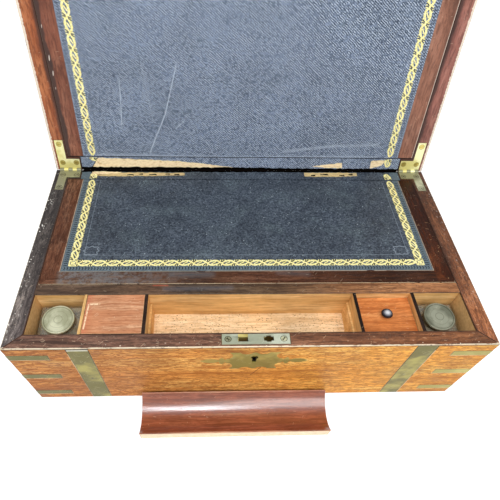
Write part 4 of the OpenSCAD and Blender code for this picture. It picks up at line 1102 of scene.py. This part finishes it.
base_rail = rail_skin("base_hinge_leather", base_face, "base_rail_leather", base_skin, "base",
                      [(198, 1.9), (120, 2.2), (20, 2.6), (-90, 3.3), (-198, 3.8)], 3, 0.1)
torn_patch(base_rail, "base_torn_patches", tan, "base",
           [[(-186, 11.6), (-150, 12.0), (-104, 10.6), (-72, 9.6), (-72, 5.2), (-110, 4.6), (-153, 4.6),
             (-186, 4.8)], [(78, 10.8), (112, 11.2), (145, 9.4), (145, 3.4), (110, 2.9), (78, 3.4)]],
           -0.05, 0.05, 11)
torn_patch(base_rail, "base_torn_tip", lid_tan, "base",
           [[(-186, 8.6), (-168, 7.4), (-152, 5.4), (-150, 3.9), (-168, 3.0), (-180, 2.8), (-186, 4.0)]],
           -0.05, 0.09, 17)
# Black patches painted as shade in the holes of the torn leather
torn_patch(base_rail, "base_torn_hole_shade", black_shade_sheet, "base",
           [[(x, away), (x + wide, away + 0.4), (x + wide * 0.9, away - 2.2), (x + 0.6, away - 1.8)]
            for x, away, wide in (
                (-143, 10.4, 9), (-128, 8.6, 5), (-116, 9.6, 10), (-96, 8.4, 6), (-85, 9.0, 7),
                (86, 9.6, 6), (98, 8.0, 11), (122, 9.0, 7), (134, 7.6, 6))], 0.02, 0.09, 23)

# Across the lid x runs the other way, because the open lid faces forward.
lid_rail = rail_skin("lid_hinge_leather", lid_face, "lid_rail_leather", lid_skin, "lid",
                     [(198, 4.1), (186.2, 4.1), (178, 17.0), (77.4, 12.5), (27.9, 6.5), (9, 4.4), (-73, 3.4),
                      (-160, 3.6), (-198, 3.2)], 5, 0.26)
torn_patch(lid_rail, "lid_torn_backing", lid_tan, "lid",
           [[(184.8, 4.2), (177, 16.8), (77.4, 13.6), (28, 7.6), (8, 5.2), (8, 4.5), (60, 4.0), (120, 4.1)]],
           -SKIN, -0.02, 8)
torn_patch(lid_rail, "lid_torn_patches", lid_tan, "lid",
           [[(-88, 6.5), (-106, 9.0), (-125, 11.5), (-126.5, 4.2), (-104, 4.4)],
            [(-162, 4.0), (-161.4, 13.8), (-171, 15.0), (-180.4, 14.6), (-176, 8.0)]], -0.05, 0.06, 29)

for rail, prefix, gilding, bare, body, torn_away in (
    (base_rail, "base_rail", gold, slit_dark, "base", (6, 6)),
    (lid_rail, "lid_rail", lid_gold, lid_slit_dark, "lid", (6, 13)),
):
    bands = Strips(rail, *GILT)
    gaps = Strips(rail, *BARE)
    for side, lost in zip((-1, 1), torn_away):
        start = Vector((side * (base_face.half - INSET - BAND / 2), CLEAR))
        chain(bands, gaps, start, Vector((0, 1)), rail.hinge - lost - CLEAR)
    bands.piece(prefix + "_gold", gilding, body)
    gaps.piece(prefix + "_bare_slits", bare, body)


SHADE_TUBE = 0.37
THIN_SHADE_TUBE = 0.2


def hinge_shade_tube(reach, stations, sides):
    """A black tube round the hinge line that fills the crack between the two halves: painted shade."""
    chance = random.Random(31)
    mesh = bmesh.new()
    rings = []
    for i in range(stations + 1):
        x = -reach + 2 * reach * i / stations
        ring = []
        for j in range(sides):
            angle = 2 * math.pi * j / sides
            size = (SHADE_TUBE if abs(x) < RAIL_HALF - 0.5 else THIN_SHADE_TUBE) * chance.uniform(0.97, 1.0)
            off = Vector((x, size * math.cos(angle), size * math.sin(angle))) * MM
            ring.append(mesh.verts.new(Vector((0, HINGE.y, HINGE.z)) + off))
        rings.append(ring)
    tube(mesh, rings)
    bmesh.ops.recalc_face_normals(mesh, faces=mesh.faces)
    add_piece("hinge_shade_tube", mesh, (black_shade_sheet,), "base")


hinge_shade_tube(212, 212, 10)


# Painted shade round the screws and in their slots, and a painted highlight beside the left hole of the lock
# plate


def screw_places(node, face):
    """Centre and radius on the face of each screw head that sits in it."""
    mesh = bmesh.new()
    mesh.from_mesh(NODES[node].data)
    bmesh.ops.remove_doubles(mesh, verts=mesh.verts, dist=WELD)
    left = set(mesh.verts)
    places = []
    while left:
        stack = [left.pop()]
        island = []
        while stack:
            vertex = stack.pop()
            island.append(vertex.co.copy())
            for line in vertex.link_edges:
                other = line.other_vert(vertex)
                if other in left:
                    left.remove(other)
                    stack.append(other)
        near = [point for point in island if abs((point - face.origin).dot(face.out)) < 1.2 * MM]
        if near:
            across = [point.dot(face.across) / MM for point in near]
            along = [(point - face.origin).dot(face.up) / MM for point in near]
            centre = ((max(across) + min(across)) / 2, (max(along) + min(along)) / 2)
            places.append((centre, (max(across) - min(across)) / 2))
    mesh.free()
    return places


def shade_round_screws(node, face, name, material, body):
    """Painted shade: a dark ring round each screw head and a dark line in its slot."""
    strips = Strips(face, *THIN)
    for number, ((x, y), radius) in enumerate(screw_places(node, face)):

        def spot(reach, angle):
            return x + reach * math.cos(angle), y + reach * math.sin(angle)

        strips.ribbon([spot(radius + 0.1, 2 * math.pi * i / 24) for i in range(25)], 0.45)
        slot = 0.5 + 1.3 * number
        strips.ribbon([spot(-radius * 0.75, slot), spot(radius * 0.75, slot)], 0.5, 0.02)
    strips.piece(name, material, body)


plate = Face("lock_plate", Z, Y)
# A bright brass patch beside the left hole of the lock plate: a painted highlight for the lit bolt in the hole
rubbed = Strips(plate, -0.05, 0.08)
HOLE_X = -11.0
HIGHLIGHT_HALF = 4.6
HIGHLIGHT_NEAR = 7.9
far = plate.length - 0.3
left = HOLE_X - HIGHLIGHT_HALF
right = HOLE_X + HIGHLIGHT_HALF
rubbed.patch([(left, far), (right, far), (right, HIGHLIGHT_NEAR), (left, HIGHLIGHT_NEAR)])
rubbed.piece("plate_painted_highlight", yellow_brass, "base")
shade_round_screws("base_screws", plate, "plate_screw_shading", grime, "base")
shade_round_screws("base_screws", Face("base_hinge_leaves", Z, Y), "base_leaf_screw_shading", grime, "base")
shade_round_screws("lid_screws", Face("lid_hinge_leaves", -Y, -Z), "lid_leaf_screw_shading", lid_screw_ring_shade, "lid")


# Ground, light and camera


def camera_sees(tree):
    """1 for camera, glossy and transmission rays."""
    path = add_node(tree, "ShaderNodeLightPath", {})
    total = path.outputs["Is Camera Ray"]
    for name in ("Is Glossy Ray", "Is Transmission Ray"):
        either = add_node(tree, "ShaderNodeMath", {0: total, 1: path.outputs[name]}, operation="MAXIMUM")
        total = either.outputs[0]
    return total


def backdrop_shader(name, colour, glow):
    """White to the camera, mirrors and glass, with the diffuse part keeping the shadow."""
    material = bpy.data.materials.new(name)
    material.use_nodes = True
    tree = material.node_tree
    tree.nodes.clear()
    strength = add_node(tree, "ShaderNodeMath", {0: camera_sees(tree), 1: glow}, operation="MULTIPLY")
    light = add_node(tree, "ShaderNodeEmission", {"Strength": strength.outputs[0]})
    diffuse = add_node(tree, "ShaderNodeBsdfDiffuse", {"Color": colour})
    both = add_node(tree, "ShaderNodeAddShader", {0: diffuse.outputs[0], 1: light.outputs[0]})
    add_node(tree, "ShaderNodeOutputMaterial", {"Surface": both.outputs[0]})
    return material


def make_world(fill):
    """A world that the camera sees white and that lights the box by fill."""
    world = bpy.data.worlds.new("studio")
    bpy.context.scene.world = world
    world.use_nodes = True
    tree = world.node_tree
    tree.nodes.clear()
    levels = {"Value": camera_sees(tree), "To Min": fill, "To Max": 1.0}
    strength = add_node(tree, "ShaderNodeMapRange", levels)
    back = add_node(tree, "ShaderNodeBackground", {"Strength": strength.outputs[0]})
    add_node(tree, "ShaderNodeOutputWorld", {"Surface": back.outputs[0]})


def soft_light(name, place, target, size, watts, tint=(1, 1, 1)):
    light = bpy.data.lights.new(name, "AREA")
    light.energy = watts
    light.color = tint
    light.size = size
    lamp = bpy.data.objects.new(name, light)
    bpy.context.scene.collection.objects.link(lamp)
    lamp.location = place
    lamp.rotation_euler = (Vector(target) - Vector(place)).to_track_quat("-Z", "Y").to_euler()


FLOOR = 4.0
floor_mesh = bpy.data.meshes.new("floor")
floor_mesh.from_pydata([(x, y, 0) for x, y in square(0, 0, FLOOR)], [], [(0, 1, 2, 3)])
floor_mesh.materials.append(backdrop_shader("floor", (232, 232, 232), 0.35))
floor = bpy.data.objects.new("floor", floor_mesh)
bpy.context.scene.collection.objects.link(floor)

make_world(0.62)
soft_light("key", (0.6, -1.2, 1.7), (0, 0, 0.1), 1.3, 22)
soft_light("left fill", (-1.4, -0.2, 1.2), (0, 0, 0.1), 1.0, 5)
soft_light("window", (-0.14, -0.57, 1.7), (-0.1, -0.15, 0), 0.48, 13, (0.86, 0.94, 1.0))

camera_data = bpy.data.cameras.new("camera")
camera_data.sensor_width = 36.0
camera_data.lens = 34.21
camera_data.shift_x = 0.0392
camera_data.shift_y = 0.0928
camera_data.clip_start = 0.01
camera = bpy.data.objects.new("camera", camera_data)
bpy.context.scene.collection.objects.link(camera)
bpy.context.scene.camera = camera

# The camera's place in metres, fitted to the photograph

CAMERA_PLACE = (-0.0415, -0.3162, 0.5189)
PITCH = math.radians(58.5)
YAW = math.radians(-4.73)
ROLL = math.radians(3.69)
level_right = Vector((math.cos(YAW), math.sin(YAW), 0))
forward = Vector((-math.sin(YAW) * math.cos(PITCH), math.cos(YAW) * math.cos(PITCH), -math.sin(PITCH)))
level_up = level_right.cross(forward)
right = level_right * math.cos(ROLL) + level_up * math.sin(ROLL)
up = level_up * math.cos(ROLL) - level_right * math.sin(ROLL)
turn = Matrix((right, up, -forward)).transposed().to_4x4()
camera.matrix_world = Matrix.Translation(CAMERA_PLACE) @ turn

bpy.context.scene.view_settings.view_transform = "Standard"
